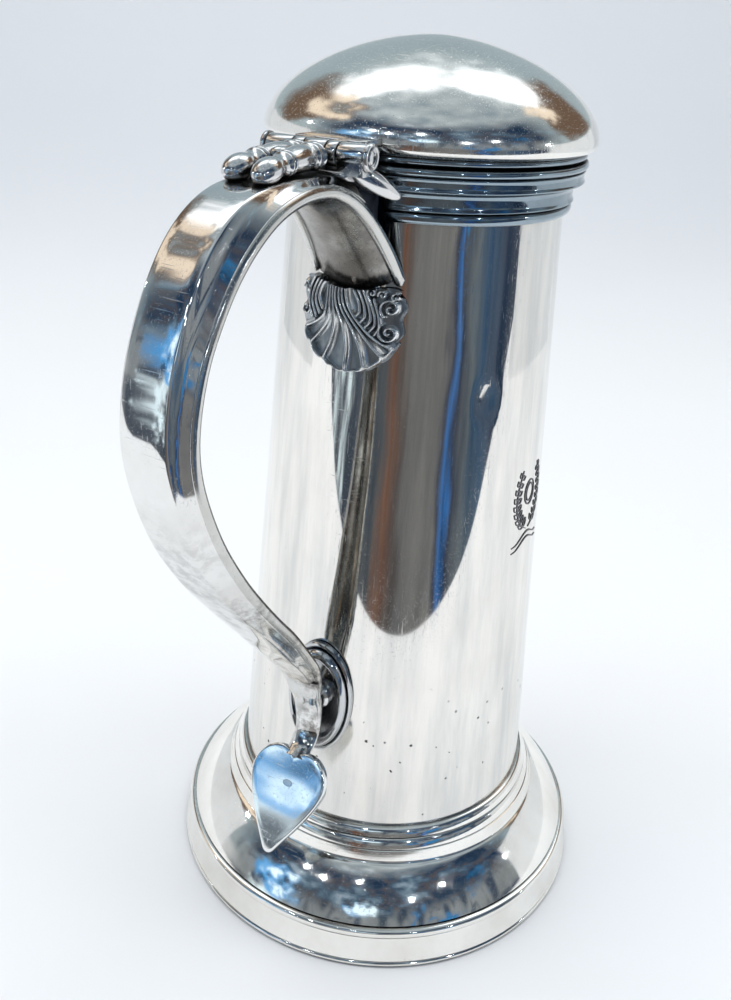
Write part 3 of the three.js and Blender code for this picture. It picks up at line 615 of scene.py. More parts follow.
def make_rim():
    bead = [(41.0, 243.4), (42.3, 243.4)]
    bead += bezier((42.3, 243.4), (43.7, 243.6), (43.8, 246.1), (42.6, 246.35), 10)
    bead += [(42.4, 246.6), (40.9, 246.6)]
    make("rim_bead_ring", *turned(bead), RIM_SHADED_METAL, nodes=["rim_bead"])
    lower = band([
        (40.7, 246.6, 0), (43.2, 246.6, 0.2), (43.9, 246.9, 0.3), (43.3, 248.1, 0.5), (43.4, 250.4, 0.5),
        (44.0, 251.2, 0.3), (43.7, 251.8, 0.2), (40.7, 251.8, 0),
    ])
    make("rim_band_low", *lower, RIM_SHADED_METAL, nodes=["rim_band_lower"])
    upper = band([
        (40.6, 251.9, 0), (45.8, 251.9, 0.25), (46.4, 252.3, 0.3), (45.9, 253.1, 0.4), (45.9, 254.7, 0.4),
        (46.4, 255.4, 0.3), (45.9, 255.8, 0.25), (40.6, 255.8, 0),
    ])
    make("rim_band_high", *upper, RIM_SHADED_METAL, nodes=["rim_band_upper"])
    lip = [(40.6, 255.9), (45.9, 255.9)]
    lip += bezier((45.9, 255.95), (47.2, 256.0), (47.2, 257.95), (45.9, 258.0), 10)
    lip += [(45.9, 258.0), (40.6, 258.0)]
    make("rim_lip", *turned(lip), RIM_SHADED_METAL, nodes=["lip_ring"])


# ---- lid


def crown(angle, wall):
    """A place on the dome at an angle from its rim, a wall's thickness in from its outside."""
    radius = (LID_RADIUS - wall) * max(cos(angle), 0) ** 1.146
    return radius, LID_BASE + (LID_RISE - wall) * sin(angle) ** 1.12


def make_lid():
    steps = 44
    angles = [pi / 2 * i / steps for i in range(steps)]
    outline = [(45.1, 260.55), (46.2, 260.5), (46.7, 260.6), (47.2, 260.95)]
    outline += [(47.9, 261.3), (48.35, 261.9), (48.62, 262.6)]
    outline += [crown(a, 0) for a in angles] + [(0, 288.45), (0, 287.1)]
    outline += [crown(a, LID_WALL) for a in reversed(angles[::2])] + [(46.9, 262.6), (46.2, 261.6)]
    dome = turned(outline, wobble=0.16, seed=5)
    make("lid_dome_shell", *dome, LID_METAL, body="lid", nodes=["lid_dome"])
    flange = band([
        (38.5, 258.75, 0.2), (45.9, 258.75, 0.35), (46.2, 259.5, 0.3), (45.9, 260.3, 0.3), (45.2, 260.55, 0),
        (38.5, 260.4, 0),
    ])
    make("lid_flange_ring", *flange, RIM_SHADED_METAL, body="lid", slot="worn_pewter", nodes=["lid_flange"])
    bezel = band([
        (36.8, 255.0, 0.3), (38.1, 255.0, 0.4), (38.3, 255.6, 0.3), (38.55, 260.3, 0), (36.8, 260.3, 0.3),
    ])
    make("lid_collar", *bezel, INSIDE_METAL, body="lid", slot="worn_pewter", nodes=["lid_bezel"])


# ---- hinge


def lug(low, high):
    """One knuckle of the barrel, with eased rims and a bore."""
    ends = [(PIN_BORE, 0), (LUG_RADIUS - 0.35, 0), (LUG_RADIUS - 0.1, 0.12), (LUG_RADIUS, 0.4)]
    return about_pin([(r, low + y) for r, y in ends] + [(r, high - y) for r, y in reversed(ends)])


def slab(outline, low, high, ease=0.35):
    """A plate from a closed outline in X and Z, between two places along Y, with eased edges."""
    middle = Vector((sum(p[0] for p in outline) / len(outline), sum(p[1] for p in outline) / len(outline)))
    quarter = [pi / 2 * k / 4 for k in range(5)]
    profile = [(low + ease * (1 - cos(a)), ease * (1 - sin(a))) for a in quarter]
    profile += [(low + high - y, inset) for y, inset in reversed(profile)]
    rings = []
    for y, inset in profile:
        ring = []
        for p in outline:
            toward_middle = middle - Vector(p)
            step = toward_middle.normalized() * min(inset, toward_middle.length * 0.5)
            ring.append(Vector((p[0] + step.x, y, p[1] + step.y)))
        rings.append(ring)
    return lofted(rings, flip=True)


def make_hinge():
    top = HINGE_Z + LUG_RADIUS
    back, neck = 47.6, 57.5
    leaf = rounded([(back, top - 1.7, 0), (58.8, top - 1.7, 0.5), (58.8, top - 0.1, 0.5), (back, top - 0.1, 0)])
    parts = [slab(leaf, -LEAF_HALF, LEAF_HALF, 0.5)]
    low, high = top - 1.6, top - 0.15
    arm = rounded([(neck, low, 0), (HINGE_X - 0.4, low, 0), (HINGE_X, top - 0.02, 0.2), (neck, high, 0)])
    for low, high in ((-6.3, -3.3), (3.3, 6.3)):
        parts += [slab(arm, low, high, 0.3), lug(low, high)]
    make("hinge_leaf", *joined(parts), HINGE_METAL, body="lid", slot="worn_pewter", nodes=["lid_hinge_leaf"])
    bracket = rounded([
        (44.5, 251.2, 0), (48.5, 251.0, 1.5), (57.0, 254.2, 2.0), (64.6, 256.0, 0.8), (65.6, 257.1, 0.8),
        (65.0, 258.2, 0.5), (58.5, 258.0, 1.5), (49.5, 256.4, 1.5), (44.5, 256.2, 0),
    ])
    parts = [slab(bracket, -LEAF_HALF, LEAF_HALF, 1.5)]
    for side in (-1, 1):
        verts, faces = ball((10.0, 1.6, 2.5))
        lean = Matrix.Rotation(radians(-side * 24), 3, "Z") @ Matrix.Rotation(radians(-26), 3, "Y")
        parts.append(([lean @ v + Vector((55.2, side * 12.0, 255.3)) for v in verts], faces))
    low_half, high_half = 2.3, 2.9
    web = rounded([
        (HINGE_X - low_half, 257.3, 0), (HINGE_X + low_half, 257.3, 0),
        (HINGE_X + high_half, HINGE_Z, 0), (HINGE_X - high_half, HINGE_Z, 0),
    ])
    for low, high in ((-BARREL_HALF, -6.6), (-3.0, 3.0), (6.6, BARREL_HALF)):
        parts += [slab(web, low, high, 0.2), lug(low, high)]
    bracket = kept_outside(*joined(parts))
    make("hinge_bracket_cast", *bracket, HINGE_METAL, slot="worn_pewter", nodes=["hinge_bracket"])
    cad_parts["hinge_pin"].data.materials[0] = HINGE_METAL
    for side, word in SIDES:
        verts, faces = about_pin([
            (0, 14.05), (3.1, 14.05), (3.35, 14.2), (3.4, 14.5), (3.35, 15.0), (3.1, 15.3), (2.7, 15.38),
            (2.35, 15.25), (2.15, 14.95), (1.75, 14.9), (1.6, 15.0), (1.45, 15.25), (0.9, 15.38), (0, 15.4),
        ])
        if side < 0:
            verts = [(x, -y, z) for x, y, z in verts]
            faces = [tuple(reversed(f)) for f in faces]
        node = f"hinge_cap_{word}"
        make(node + "_turned", verts, faces, HINGE_METAL, slot="worn_pewter", nodes=[node])


# ---- handle


def inner_length(point, inner):
    """The nearest place on the inner edge as a fraction, and its distance."""
    distances = [(p - point).length for p in inner]
    i = distances.index(min(distances))
    return i / (len(inner) - 1), distances[i]


def make_handle():
    make("handle_channel", *channel(), HANDLE_METAL, sharp=50, nodes=["handle_strap"])
    liner, beads = [], {-1: [], 1: []}
    for i, (point, across, out) in enumerate(plane_stations(catmull(INNER, HANDLE_STEPS))):
        t = i / HANDLE_STEPS
        ending = max(0.0, t - 0.92) / 0.08
        half = value_along(HALF_WIDTHS, t) - 1.3 * ending
        roll = BEAD * (1 - 0.45 * ending)
        drop = value_along(BELLY, t) + 0.5
        wide = half - 2 * BEAD + 0.5
        under = [(wide * a / 8, 0.5 - drop * (1 - (a / 8) ** 2)) for a in range(-8, 9)]
        liner.append((point, across, out, under + [(wide, 1.6), (-wide, 1.6)]))
        for side in beads:
            section = oval(side * (half - roll), 2 * BEAD - roll, roll, roll, 20)
            beads[side].append((point, across, out, section))
    under = kept_outside(*swept(liner))
    make("handle_underside", *under, LINER_SHADED_METAL, sharp=40, slot="worn_pewter", nodes=["handle_liner"])
    for side, word in SIDES:
        roll = kept_outside(*swept(beads[side]))
        make(f"handle_roll_{word}", *roll, ROLL_METAL, sharp=60, nodes=[f"handle_bead_{word}"])


def channel():
    """The handle's outer channel: a flat face with hollowed sides, which thins out at its lower end."""
    inner = catmull(INNER, 600)
    stations = []
    for i, (point, across, out) in enumerate(plane_stations(catmull(OUTER, HANDLE_STEPS))):
        t, distance = inner_length(Vector((point.x, point.z)), inner)
        ending = max(0.0, i / HANDLE_STEPS - 0.9) / 0.1
        deep = lerp(max(distance - 2 * BEAD + 0.5, 1.3), 1.6, ending)
        half = value_along(HALF_WIDTHS, t) - 0.9 - 1.1 * ending
        face = min(FACE_HALF, half - 1.6)
        flank = lerp(half, face, 0.5) - 0.45
        section = rounded([
            (-half, -deep, 0.2), (half, -deep, 0.2), (half - 0.1, -deep + 0.4, 0.1), (flank, -deep * 0.5, 1.0),
            (face, -0.12, 0.55), (face * 0.5, 0, 0.8), (-face * 0.5, 0, 0.8), (-face, -0.12, 0.55),
            (-flank, -deep * 0.5, 1.0), (-half + 0.1, -deep + 0.4, 0.1),
        ], 3)
        stations.append((point - out * 0.9 * ending, across, out, section))
    return kept_outside(*swept(stations))


def make_root():
    """The web between the arch, the bracket and the body, in a dark metal that paints the shade under the arch.
    """
    rings = []
    for point, _, out in plane_stations(catmull(INNER, 240)[:56]):
        low = point + out * (2 * BEAD - 0.2)
        if low.z < WEB_TOP - 0.3:
            half = lerp(7.6, 7.0, (low.x - 35) / 31)
            ring = [Vector((low.x, (k / 6 - 1) * half, low.z)) for k in range(13)]
            rings.append(ring + [Vector((low.x, side * half, WEB_TOP)) for side in (1, -1)])
    web = kept_outside(*lofted(rings, flip=True))
    make("handle_web", *web, WEB_SHADE_METAL, slot="worn_pewter", nodes=["handle_root"])


# ---- volutes


def make_volutes():
    low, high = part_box("volute_left")
    lift = (low.z + high.z) / 2 / MM
    profile = [
        (0, 66.7), (2.3, 66.75), (2.75, 67.0), (2.85, 67.5), (2.7, 68.0), (2.2, 68.3), (2.15, 68.5),
        (2.6, 68.8), (2.75, 69.3), (2.6, 69.8), (2.05, 70.1), (1.95, 70.4), (2.3, 70.7), (2.4, 71.1),
        (2.2, 71.5), (1.85, 71.9),
    ]
    profile += bezier((1.85, 72.0), (1.8, 75.0), (2.9, 77.5), (2.85, 79.6), 12)
    profile += [(2.6, 80.8), (1.8, 81.7), (0, 82.0)]
    stem = laid(profile, 48, lift)
    make("volute_stem_ribbed", *stem, HINGE_METAL, slot="worn_pewter", sharp=60, nodes=["volute_stem"])
    horn = [
        (0, 67.2), (2.4, 67.3), (3.3, 67.6), (3.7, 68.3), (3.4, 69.0), (2.9, 69.4), (3.4, 69.9), (3.7, 70.6),
        (3.4, 71.3), (3.0, 71.7),
    ]
    horn += bezier((3.0, 71.8), (3.9, 74.0), (3.6, 78.0), (2.7, 81.4), 20)
    bead = [(2.7, 0), (3.15, 0.3), (3.3, 0.7), (3.15, 1.15), (2.8, 1.45)]
    for start in (81.4, 82.9):
        horn += [(radius, start + step) for radius, step in bead]
    bulb = [pi * (0.27 + 0.73 * i / 28) for i in range(28)]
    horn += [(3.3 * sin(a), 89.9 - 4.9 * cos(a)) for a in bulb] + [(0, 94.8)]
    for side, word in SIDES:
        verts, faces = turned(horn, 56)
        shaped = []
        for u, v, w in verts:
            spread = side * lerp(2.4, 3.95, min(max((w - 68) / 17, 0), 1) ** 1.3)
            droop = 2.2 * max(0.0, (w - 76) / 19) ** 1.6
            shaped.append(Vector((w, spread + v, lift - droop - 0.9 * u)))
        make(f"volute_scroll_{word}", shaped, faces, HINGE_METAL, sharp=50, nodes=[f"volute_{word}"])


# ---- lower joint


def on_body(across, z, lift):
    """A place on the body's outside on the handle's side, lifted off it."""
    radius = body_radius(z) + lift
    return Vector((sqrt(max(radius * radius - across * across, 0)), across, z))


def make_boss():
    profile = [
        (1.0, 0.3), (1.0, 1.5), (0.985, 1.9), (0.955, 2.0), (0.93, 1.8), (0.915, 1.2), (0.9, 1.2), (0.895, 2.4),
        (0.88, 3.3), (0.85, 3.9), (0.81, 4.15), (0.76, 3.9), (0.72, 3.2), (0.7, 2.3), (0.68, 1.6), (0.64, 1.4),
        (0.3, 1.3),
    ]
    wide, tall = BOSS_HALF
    rings = []
    for share, lift in profile:
        rings.append([on_body(x, BOSS_Z + y, lift) for x, y in oval(0, 0, wide * share, tall * share, 96)])
    make("boss_moulding", *lofted(rings), BOSS_METAL, nodes=["boss_plate", "boss_ring"])
    outline = [(0, 51.0), (4.7, 51.0), (4.6, 52.3), (3.7, 53.0), (3.5, 53.8), (4.0, 54.3), (0, 54.5)]
    post = laid(outline, 40, BOSS_Z + 1)
    make("joint_post", *post, HINGE_METAL, slot="dark_pewter", nodes=["lower_joint_post"])


def make_tail():
    steps = 60
    path = [(63.0, 104.6), (60.3, 98.5), (57.7, 92.0), (56.6, 85.5), (57, 79.6), (60.5, 75.2), (64.6, 73.1)]
    stations = []
    for i, (point, across, out) in enumerate(plane_stations(catmull(path, steps))):
        half = value_along([6.9, 6.2, 5.5, 5.0, 4.6, 4.3, 4.0], i / steps)
        thick = value_along([1.0, 1.9, 2.2, 2.2, 2.0, 1.8, 1.6], i / steps)
        stations.append((point, across, out, oval(0, 0, half, thick, 28)))
    make("handle_tail_curl", *swept(stations), HANDLE_METAL, sharp=60, nodes=["handle_tail"])


def heart_edge(count):
    """The heart's outline in its own plane, with its cleft at the origin."""
    half, tip, widest = 13.5, -32.6, -7.5
    left = bezier((0, tip), (-0.9, tip), (-1.5, tip + 0.5), (-2.0, tip + 1.3), 5)
    left += bezier((-2.0, tip + 1.3), (-5.2, tip + 7), (-half + 0.4, widest - 7), (-half, widest), count)
    left += bezier((-half, widest), (-half, 1), (-5, 5.5), (0, 0), count)
    return left + [(0, 0)] + [(-x, y) for x, y in reversed(left[1:])]


def make_heart():
    up = Vector((-sin(HEART_LEAN), 0, cos(HEART_LEAN)))
    out = Vector((cos(HEART_LEAN), 0, sin(HEART_LEAN)))

    def place(x, y, lift):
        return HEART_CLEFT + Vector((0, x, 0)) + up * y + out * lift

    centre = Vector((0, -11))
    rows = [(1.0, -0.4), (0.985, -0.12), (0.965, -0.03), (0.94, 0.0)]
    rows += [(share, 0.0) for share in (0.8, 0.65, 0.5, 0.35, 0.2)]
    edge = heart_edge(28)
    rings = [[place(*p, -HEART_THICK) for p in edge]]
    for share, lift in rows:
        inset = [centre.lerp(Vector(p), share) for p in edge]
        rings.append([place(*q, lift - 0.0034 * (q.y + 12) ** 2 - 0.0008 * q.x ** 2) for q in inset])
    make("heart_plate", *lofted(rings, flip=True), HEART_METAL, sharp=45, nodes=["heart_terminal"])
    rings = []
    for wide, tall, lift in ((1.3, 0.7, -0.2), (1.75, 1.05, -0.2), (1.75, 1.05, 0.05), (1.3, 0.7, 0.02)):
        rings.append([place(x, y, lift) for x, y in oval(0.8, -8.5, wide, tall, 24)])
    make("heart_vent", *lofted(rings), CAST_METAL, slot="dark_pewter")


# ---- shell


def coil(x, y, radius, turns, start, way):
    """A spiral line in the shell's plane, from its rim in to its eye."""
    points = []
    for i in range(19):
        t = i / 18
        a = start + way * 2 * pi * turns * t
        reach = radius * (1 - 0.86 * t)
        points.append((x + reach * cos(a), y + reach * sin(a)))
    return points


# The shell's raised lines, as places across and down from its upper edge in mm, with half width and rise
FAN = [
    [(-5.9, 1.0), (-5.9, 4.5), (-6.7, 10.4), (-9.6, 13.4), (-13.6, 15.8)],
    [(-5.1, 1.0), (-5.1, 5.5), (-5.7, 12.4), (-8.0, 16.2), (-11.2, 19.8)],
    [(-4.2, 1.0), (-4.1, 6.0), (-3.2, 12.2), (-3.9, 17.5), (-6.3, 23.4)],
    [(-3.3, 1.0), (-3.2, 6.4), (-0.4, 12.6), (1.1, 18.4), (1.0, 25.4)],
    [(-2.4, 1.0), (-1.8, 6.6), (2.9, 13.6), (5.4, 18.4), (6.8, 23.4)],
    [(-1.5, 1.0), (-0.6, 6.6), (5.2, 13.6), (8.6, 17.0), (11.6, 19.7)],
    [(-0.6, 1.0), (0.9, 6.8), (6.4, 12.9), (10.4, 15.6), (13.6, 17.0)],
]
HOOKS = [
    [(0.9, 0.8), (2.7, 3.4), (4.1, 6.2), (4.1, 8.6), (3.2, 9.6)],
    [(2.5, 0.8), (4.2, 3.4), (5.6, 6.6), (5.9, 9.4), (4.7, 11.2)],
    [(4.2, 0.8), (5.8, 3.8), (7.2, 7.2), (7.6, 10.4), (6.2, 12.4)],
    [(6.4, 3.6), (7.4, 5.4), (8.6, 8.2), (9.0, 11.2), (7.7, 13.2)],
    [(8.2, 4.2), (9.0, 6.2), (10.0, 9.0), (10.2, 12.0), (9.2, 14.0)],
    [(-6.9, 1.0), (-8.6, 3.6), (-9.2, 6.6), (-7.9, 9.4)],
    [(-8.1, 0.8), (-9.9, 4.0), (-10.5, 7.6), (-8.9, 11.0)],
    [(-9.4, 0.8), (-11.2, 4.2), (-11.8, 8.2), (-10.0, 12.2)],
    [(-11.0, 0.8), (-12.6, 4.0), (-13.0, 8.0), (-11.6, 12.6)],
]
COILS = [coil(*measures) for measures in (
    (12.9, 6.3, 2.95, 1.35, 2.2, 1), (12.9, 13.0, 2.95, 1.4, -2.4, -1), (7.6, 2.5, 1.5, 1.1, 2.6, 1),
    (10.6, 2.7, 1.3, 1.1, 2.9, 1), (14.4, 2.9, 1.3, 1.1, 2.4, 1), (-14.6, 4.3, 1.7, 1.2, 0.9, -1),
    (-14.2, 10.6, 1.9, 1.2, -0.6, 1),
)]


def scalloped_edge():
    """The raised line along the ends of the fan's flutes, with a lobe between each pair."""
    ends = [Vector(line[-1]) for line in FAN]
    points = []
    for a, b in zip(ends, ends[1:]):
        outward = ((a + b) / 2 - Vector((-1.0, 11.0))).normalized()
        points += [tuple(a), tuple(a.lerp(b, 0.25) + outward * 0.9), tuple(a.lerp(b, 0.75) + outward * 0.9)]
    return points + [tuple(ends[-1])]


def raised(places, line, width, rise, height, flare=False):
    """Each place's height after a ridge is laid along a line: round, or with sides that sweep out."""
    points = np.array([tuple(p) for p in catmull(line, 6 * len(line))])
    best = np.full(len(places), 1e9)
    for a, b in zip(points, points[1:]):
        run = b - a
        t = np.clip(((places - a) @ run) / (run @ run + 1e-9), 0, 1)
        best = np.minimum(best, np.linalg.norm(places - (a + t[:, None] * run), axis=1))
    away = np.clip(best / width, 0, 1)
    return np.maximum(height, rise * ((1 - away) ** 2 if flare else (1 - away ** 2) ** 0.8))


def shell_places(across_steps, down_steps, wide):
    """Places on the shell as (across, down) in mm, and how far each is in from the edge, 0 to 1."""
    places, rims = [], []
    for j in range(down_steps + 1):
        for i in range(across_steps + 1):
            u = -1 + 2 * i / across_steps
            wave = 0.7 * (abs(sin(acos(-u) * 7)) - 1)
            low = SHELL_MIDDLE - sqrt(max(1 - u * u, 0)) * (SHELL_MIDDLE - SHELL_LOW + wave)
            top = SHELL_HIGH - 2.4 + 3.4 * u * u - 4.6 * u ** 8
            z = lerp(top, low, j / down_steps)
            drop = SHELL_HIGH - z
            waist = 0.55 * (1 - cos(2 * pi * (drop - 6.3) / 6.7)) * u * u if 2 < drop < 16 else 0
            places.append((u * (wide - waist), drop))
            rims.append(min(1.0, (z - low) / 0.9, (1 - abs(u)) * wide / 0.7))
    return np.array(places), np.clip(np.array(rims), 0, 1)


def make_shell():
    across_steps, down_steps = 210, 170
    wide = SHELL_HALF - 0.2
    places, rims = shell_places(across_steps, down_steps, wide)
    relief = np.full(len(places), 0.12)
    for line in FAN:
        relief = raised(places, line, 2.1, 0.85, relief, flare=True)
        relief = raised(places, line, 0.62, 1.1, relief)
    for lines, width, rise in ((HOOKS, 0.66, 0.9), (COILS, 0.6, 1.0), ([scalloped_edge()], 0.55, 1.0)):
        for line in lines:
            relief = raised(places, line, width, rise, relief)
    crest = 1 - 0.3 * np.abs(places[:, 0] / wide) ** 2
    lifts = 0.2 + np.sqrt(rims) * (crest + 2.2 * relief)
    verts = [on_body(x, SHELL_HIGH - y, lift) for (x, y), lift in zip(places, lifts)]
    count = across_steps + 1
    faces = [(a, a + count, a + count + 1, a + 1)
             for j in range(down_steps) for a in range(j * count, j * count + across_steps)]
    piece = make("shell_cast", verts, faces, SHELL_METAL, slot="dark_pewter", sharp=75, nodes=["shell_mount"])
    # The relief heights let the shell's material paint shade into its low parts
    relief_values = piece.data.attributes.new("relief", "FLOAT", "POINT")
    relief_values.data.foreach_set("value", (relief * rims).astype(np.float32))


# ---- engraving


def line_on_body(path, half):
    """A thin ribbon on the body along a path of (across, up) in mm about the engraving's middle."""
    rings = []
    points = catmull([(0.8 * x, 0.8 * y) for x, y in path], max(6, 5 * len(path)))
    for i, p in enumerate(points):
        tangent = points[min(i + 1, len(points) - 1)] - points[max(i - 1, 0)]
        tangent.normalize()
        width = half * sin(pi * (0.08 + 0.84 * i / (len(points) - 1))) + 0.07
        ring = []
        for side, lift in ((-1, 0.18), (1, 0.18), (1, -0.3), (-1, -0.3)):
            q = p + Vector((-tangent.y, tangent.x)) * width * side
            z = ENGRAVING_Z + q.y
            ring.append(toward(ENGRAVING_AZIMUTH + q.x / body_radius(z), body_radius(z) + lift, z))
        rings.append(ring)
    return lofted(rings)


def make_engraving():
    """A small generic spray of leaves over a scroll."""
    parts = []
    for side in (-1, 1):
        stem = [(side * 1, -14), (side * 6, -11), (side * 9.5, -4), (side * 9.5, 5), (side * 6.5, 13)]
        parts.append(line_on_body(stem, 0.22))
        for k, p in enumerate(catmull(stem, 9)[1:-1]):
            for fork in (-48, 48):
                lean = radians(90 - side * (20 - 8 * k) + fork)
                end = p + Vector((cos(lean), sin(lean))) * (4.4 - 0.2 * k)
                bow = Vector((-sin(lean), cos(lean))) * 0.9
                for bend in (-1, 1):
                    parts.append(line_on_body([p, p.lerp(end, 0.5) + bow * bend, end], 0.16))
    for lift in (-17.5, -20.0):
        parts.append(line_on_body([(x, lift + 1.8 * cos(x / 3.6)) for x in range(-12, 13, 3)], 0.2))
    for radius in (3.0, 4.2):
        ring = oval(0, 2, radius, 1.25 * radius, 16)
        parts.append(line_on_body(ring + ring[:1], 0.18))
    make("engraved_spray", *joined(parts), ENGRAVED, slot="dark_pewter")


# ---- stage


def stage_mesh(name, verts, faces, material):
    obj = mesh_object(name, verts, faces, material)
    return obj


TABLE_END = radians(31.6)  # the direction, from the vessel, in which the table ends
TABLE_REACH = 0.27
BACKDROP_START = 0.9
BACKDROP_CURVE = 0.4
STAGE_HALF = 3.2
CARD_REACH = 0.8


def make_stage():
    """A pale table that ends in front and rises into a backdrop behind, with a white card on each side."""
    ahead = toward(TABLE_END, 1, 0)
    side = Vector((-ahead.y, ahead.x, 0))
    rows = [(TABLE_REACH, 0.0), (0.1, 0.0), (-0.3, 0.0), (-BACKDROP_START, 0.0)]
    for i in range(1, 17):
        a = pi / 2 * i / 16
        rows.append((-BACKDROP_START - BACKDROP_CURVE * sin(a), BACKDROP_CURVE * (1 - cos(a))))
    rows.append((-BACKDROP_START - BACKDROP_CURVE, BACKDROP_CURVE + 0.1))
    verts = [ahead * x + side * y + Vector((0, 0, z)) for x, z in rows for y in (-STAGE_HALF, STAGE_HALF)]
    faces = [(i, i + 1, i + 3, i + 2) for i in range(0, len(verts) - 2, 2)]
    stage_mesh("table", verts, faces, plain("table_white", (0.85, 0.852, 0.86)))
    white = plain("card_white", (0.87, 0.875, 0.88))
    for name, start, end in (("left", -60, -112), ("right", 108, 165)):
        angles = [radians(lerp(start, end, i / 12)) for i in range(13)]
        verts = [toward(a, CARD_REACH, z) for a in angles for z in (0.002, 0.42)]
        card = stage_mesh(f"card_{name}", verts, [(i, i + 2, i + 3, i + 1) for i in range(0, 24, 2)], white)
        card.visible_shadow = False
        card.visible_diffuse = False
        card.visible_camera = False


# What the metal mirrors: colours round the room, and up its walls and ceiling, from a place of 0 to 1
ROOM = [
    (0.05, (0.045, 0.065, 0.10)), (0.30, (0.05, 0.07, 0.09)), (0.345, (0.17, 0.075, 0.04)),
    (0.40, (0.09, 0.075, 0.07)), (0.46, (0.18, 0.185, 0.19)), (0.66, (0.20, 0.205, 0.205)),
    (0.70, (0.02, 0.03, 0.06)), (0.735, (0.03, 0.20, 0.60)), (0.76, (0.012, 0.025, 0.06)),
    (0.82, (0.13, 0.17, 0.20)), (0.88, (0.025, 0.09, 0.19)), (0.97, (0.015, 0.04, 0.09)),
]
WALL = [
    (0.34, (0.05, 0.07, 0.10)), (0.40, (0.20, 0.23, 0.25)), (0.475, (0.27, 0.30, 0.32)),
    (0.49, (0.06, 0.08, 0.11)), (0.505, (0.27, 0.30, 0.32)), (0.60, (0.22, 0.25, 0.27)),
    (0.66, (0.05, 0.07, 0.11)),
]
UPPER = [
    (0.36, (0.012, 0.03, 0.07)), (0.45, (0.03, 0.06, 0.11)), (0.50, (0.10, 0.08, 0.075)),
    (0.54, (0.03, 0.07, 0.13)), (0.62, (0.15, 0.23, 0.31)), (0.70, (0.4, 0.5, 0.6)),
]
CEILING = [
    (0.34, (0.26, 0.33, 0.38)), (0.48, (0.40, 0.47, 0.52)), (0.60, (0.55, 0.62, 0.66)),
    (0.70, (0.85, 0.9, 0.93)),
]
PALE = [
    (0.0, (0.84, 0.865, 0.89)), (0.12, (0.80, 0.84, 0.88)), (0.19, (0.38, 0.46, 0.50)),
    (0.5, (0.33, 0.42, 0.47)), (0.8, (0.38, 0.46, 0.50)),
]
BROWN, GLOW, GLARE = (0.15, 0.10, 0.07), (0.98, 0.84, 0.68), (1.7, 1.8, 1.9)
BLUE, WINDOW, DAYLIGHT = (0.07, 0.38, 0.85), (1.0, 1.25, 1.4), (0.9, 1.1, 1.2)

# Soft round patches in the room: azimuth, rise, and the radii where each is full and gone, in degrees
PATCHES = (
    (-95, 34, 17, 25, BROWN), (-68, 46, 8, 15, BROWN), (-67, 46, 3, 9, GLOW), (-88, 48, 3, 9, GLOW),
    (155, 30, 17, 24, BROWN), (147, 45, 3, 9, GLOW), (-132, 60, 10, 21, GLARE), (176, 55, 8, 18, GLARE),
    (-24, -2, 9, 14, (0.5, 0.58, 0.62)), (-27, -5, 6, 11, DAYLIGHT), (-25, 20, 8, 13, BLUE),
    (-23, 21, 3, 8, WINDOW), (24, 25, 3, 5, BLUE), (26, 26, 1, 3, WINDOW), (60, 11, 2, 4, (0.04, 0.2, 0.45)),
    (84, 22, 5, 8, (0.03, 0.18, 0.4)),
)
PLAIN_WALL = (0.80, 0.82, 0.85, 1)  # what the camera itself sees past the stage


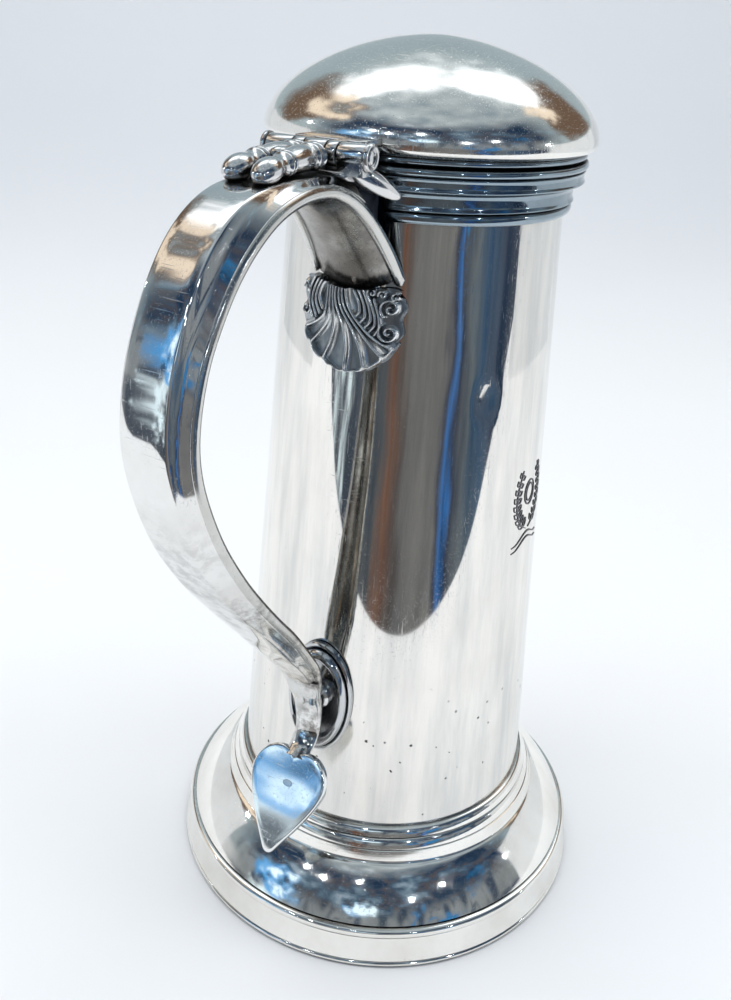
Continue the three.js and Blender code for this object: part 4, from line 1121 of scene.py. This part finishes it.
def make_world():
    """A soft studio: pale behind and at the sides, and a darker, cooler room above and in front."""
    world = bpy.data.worlds.new("studio")
    bpy.context.scene.world = world
    world.use_nodes = True
    n = Nodes(world.node_tree)
    coords = n.add("TexCoord").outputs["Generated"]
    settings = {"Vector": coords, "Scale": 3.2, "Detail": 4.0, "Roughness": 0.6}
    ripple = n.add("TexNoise", settings).outputs["Color"]
    push = n.math("MULTIPLY_ADD", ripple, (0.22,) * 3, (-0.11,) * 3, kind="VectorMath")
    rippled = n.math("ADD", coords, push, kind="VectorMath")

    def along(vector, direction):
        """How far each direction points along another, from 0 to 1."""
        facing = n.math("DOT_PRODUCT", vector, direction, kind="VectorMath", output="Value")
        return n.plus(n.times(facing, 0.5), 0.5)

    def patch(azimuth, rise, inner, outer):
        rise, inner, outer = (radians(angle) for angle in (rise, inner, outer))
        centre = toward(radians(azimuth), cos(rise), sin(rise))
        stops = [(0.5 + 0.5 * cos(outer), 0.0), (0.5 + 0.5 * cos(inner), 1.0)]
        return n.ramp(along(rippled, centre), stops)

    front = n.ramp(along(coords, toward(TABLE_END, 1, 0)), [(0.42, 0.0), (0.60, 1.0)])
    height = n.level(coords)
    drift = n.noise(n.mapping(coords, (2.5, 2.5, 4.0)), 1.6, 3.0, 0.6)
    around = n.plus(along(coords, toward(TABLE_END + pi / 2, 1, 0)), n.about_zero(drift, 0.16))
    shades = n.noise(n.mapping(coords, (7, 7, 0.8)), 1.0, 3.0, 0.6)
    shades = n.ramp(shades, [(0.3, (0.01, 0.015, 0.03)), (0.6, (0.22, 0.22, 0.22))])
    room = n.mix(0.25, n.ramp(around, ROOM), shades)
    beams = n.noise(n.mapping(coords, (5, 5, 0.3)), 1.4, 1.0, 0.5)
    shapes = n.noise(n.mapping(coords, (1, 1, 1.6)), 4.2, 4.0, 0.6)
    darker = n.mix(n.ramp(height, [(0.01, 0.0), (0.06, 1.0)]), room, n.ramp(beams, WALL))
    darker = n.mix(n.ramp(height, [(0.26, 0.0), (0.42, 1.0)]), darker, n.ramp(shapes, UPPER))
    low = n.mix(front, n.ramp(height, PALE), darker)
    colour = n.mix(n.ramp(height, [(0.72, 0.0), (0.87, 1.0)]), low, n.ramp(shapes, CEILING))
    for *place, tint in PATCHES:
        colour = n.mix(patch(*place), colour, (*tint, 1))
    seen = n.add("LightPath").outputs["Is Camera Ray"]
    background = n.add("Background", {"Color": n.mix(seen, colour, PLAIN_WALL), "Strength": 1.0})
    n.add("OutputWorld", {"Surface": background.outputs[0]})


def area_light(name, place, aim, size, power, colour=(1, 1, 1)):
    light = bpy.data.lights.new(name, "AREA")
    light.shape = "RECTANGLE"
    light.size, light.size_y = size
    light.energy = power
    light.color = colour
    obj = added(name, light)
    obj.location = place
    obj.rotation_euler = (Vector(aim) - Vector(place)).to_track_quat("-Z", "Y").to_euler()
    return obj


def make_lights():
    """Broad soft light that metal doesn't mirror, and a few small lamps that it does."""
    middle = (0.02, 0, 0.14)
    for name, azimuth, distance, height, size, power in (
        ("overhead", 20, 0.15, 1.5, (1.6, 1.2), 12.4),
        ("left_fill", -50, 1.4, 1.0, (0.9, 1.3), 7),
        ("right_fill", 110, 1.4, 0.9, (0.9, 1.3), 6.5),
    ):
        light = area_light(name, toward(radians(azimuth), distance, height), middle, size, power)
        light.visible_glossy = False
    behind = TABLE_END + pi
    wash = area_light("backdrop_wash", toward(behind, 0.5, 1.3), toward(behind, 1.35, 0.4), (2.0, 0.5), 2.2)
    wash.visible_glossy = False
    reach, lamp_base = 1.8, 0.15
    lamps = ((-67, 26), (-16, 36), (-4, 34), (19, 39), (50, 24), (70, 29), (110, 16))
    for i, (azimuth, rise) in enumerate(lamps):
        azimuth, rise = radians(azimuth), radians(rise)
        place = toward(azimuth, reach * cos(rise), lamp_base + reach * sin(rise))
        area_light(f"ceiling_lamp_{i}", place, middle, (0.045, 0.045), 0.5, (0.86, 0.93, 1.0))


# ---- camera

FOOT_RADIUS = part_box("foot_edge_ring")[1].x
CAMERA_AZIMUTH = radians(25.5)
CAMERA_DISTANCE = 3.9988 * FOOT_RADIUS
CAMERA_HEIGHT = 3.8061 * FOOT_RADIUS
CAMERA_TILT, CAMERA_PAN, CAMERA_ROLL = 0.4607, 0.0398, 0.0636


def make_camera():
    data = bpy.data.cameras.new("camera")
    data.sensor_width = 36
    data.lens = 35.42
    data.clip_start = 0.01
    camera = added("camera", data)
    camera.matrix_world = (
        Matrix.Rotation(CAMERA_AZIMUTH + pi / 2, 4, "Z")
        @ Matrix.Translation((0, -CAMERA_DISTANCE, CAMERA_HEIGHT))
        @ Matrix.Rotation(CAMERA_PAN, 4, "Z")
        @ Matrix.Rotation(pi / 2 - CAMERA_TILT, 4, "X")
        @ Matrix.Rotation(CAMERA_ROLL, 4, "Z")
    )
    bpy.context.scene.camera = camera


for make_part in (
    make_camera, make_foot, make_body, make_rim, make_lid, make_hinge, make_handle, make_root, make_volutes,
    make_boss, make_tail, make_heart, make_shell, make_engraving, make_world, make_lights, make_stage,
):
    make_part()
bpy.context.scene.view_settings.view_transform = "Standard"
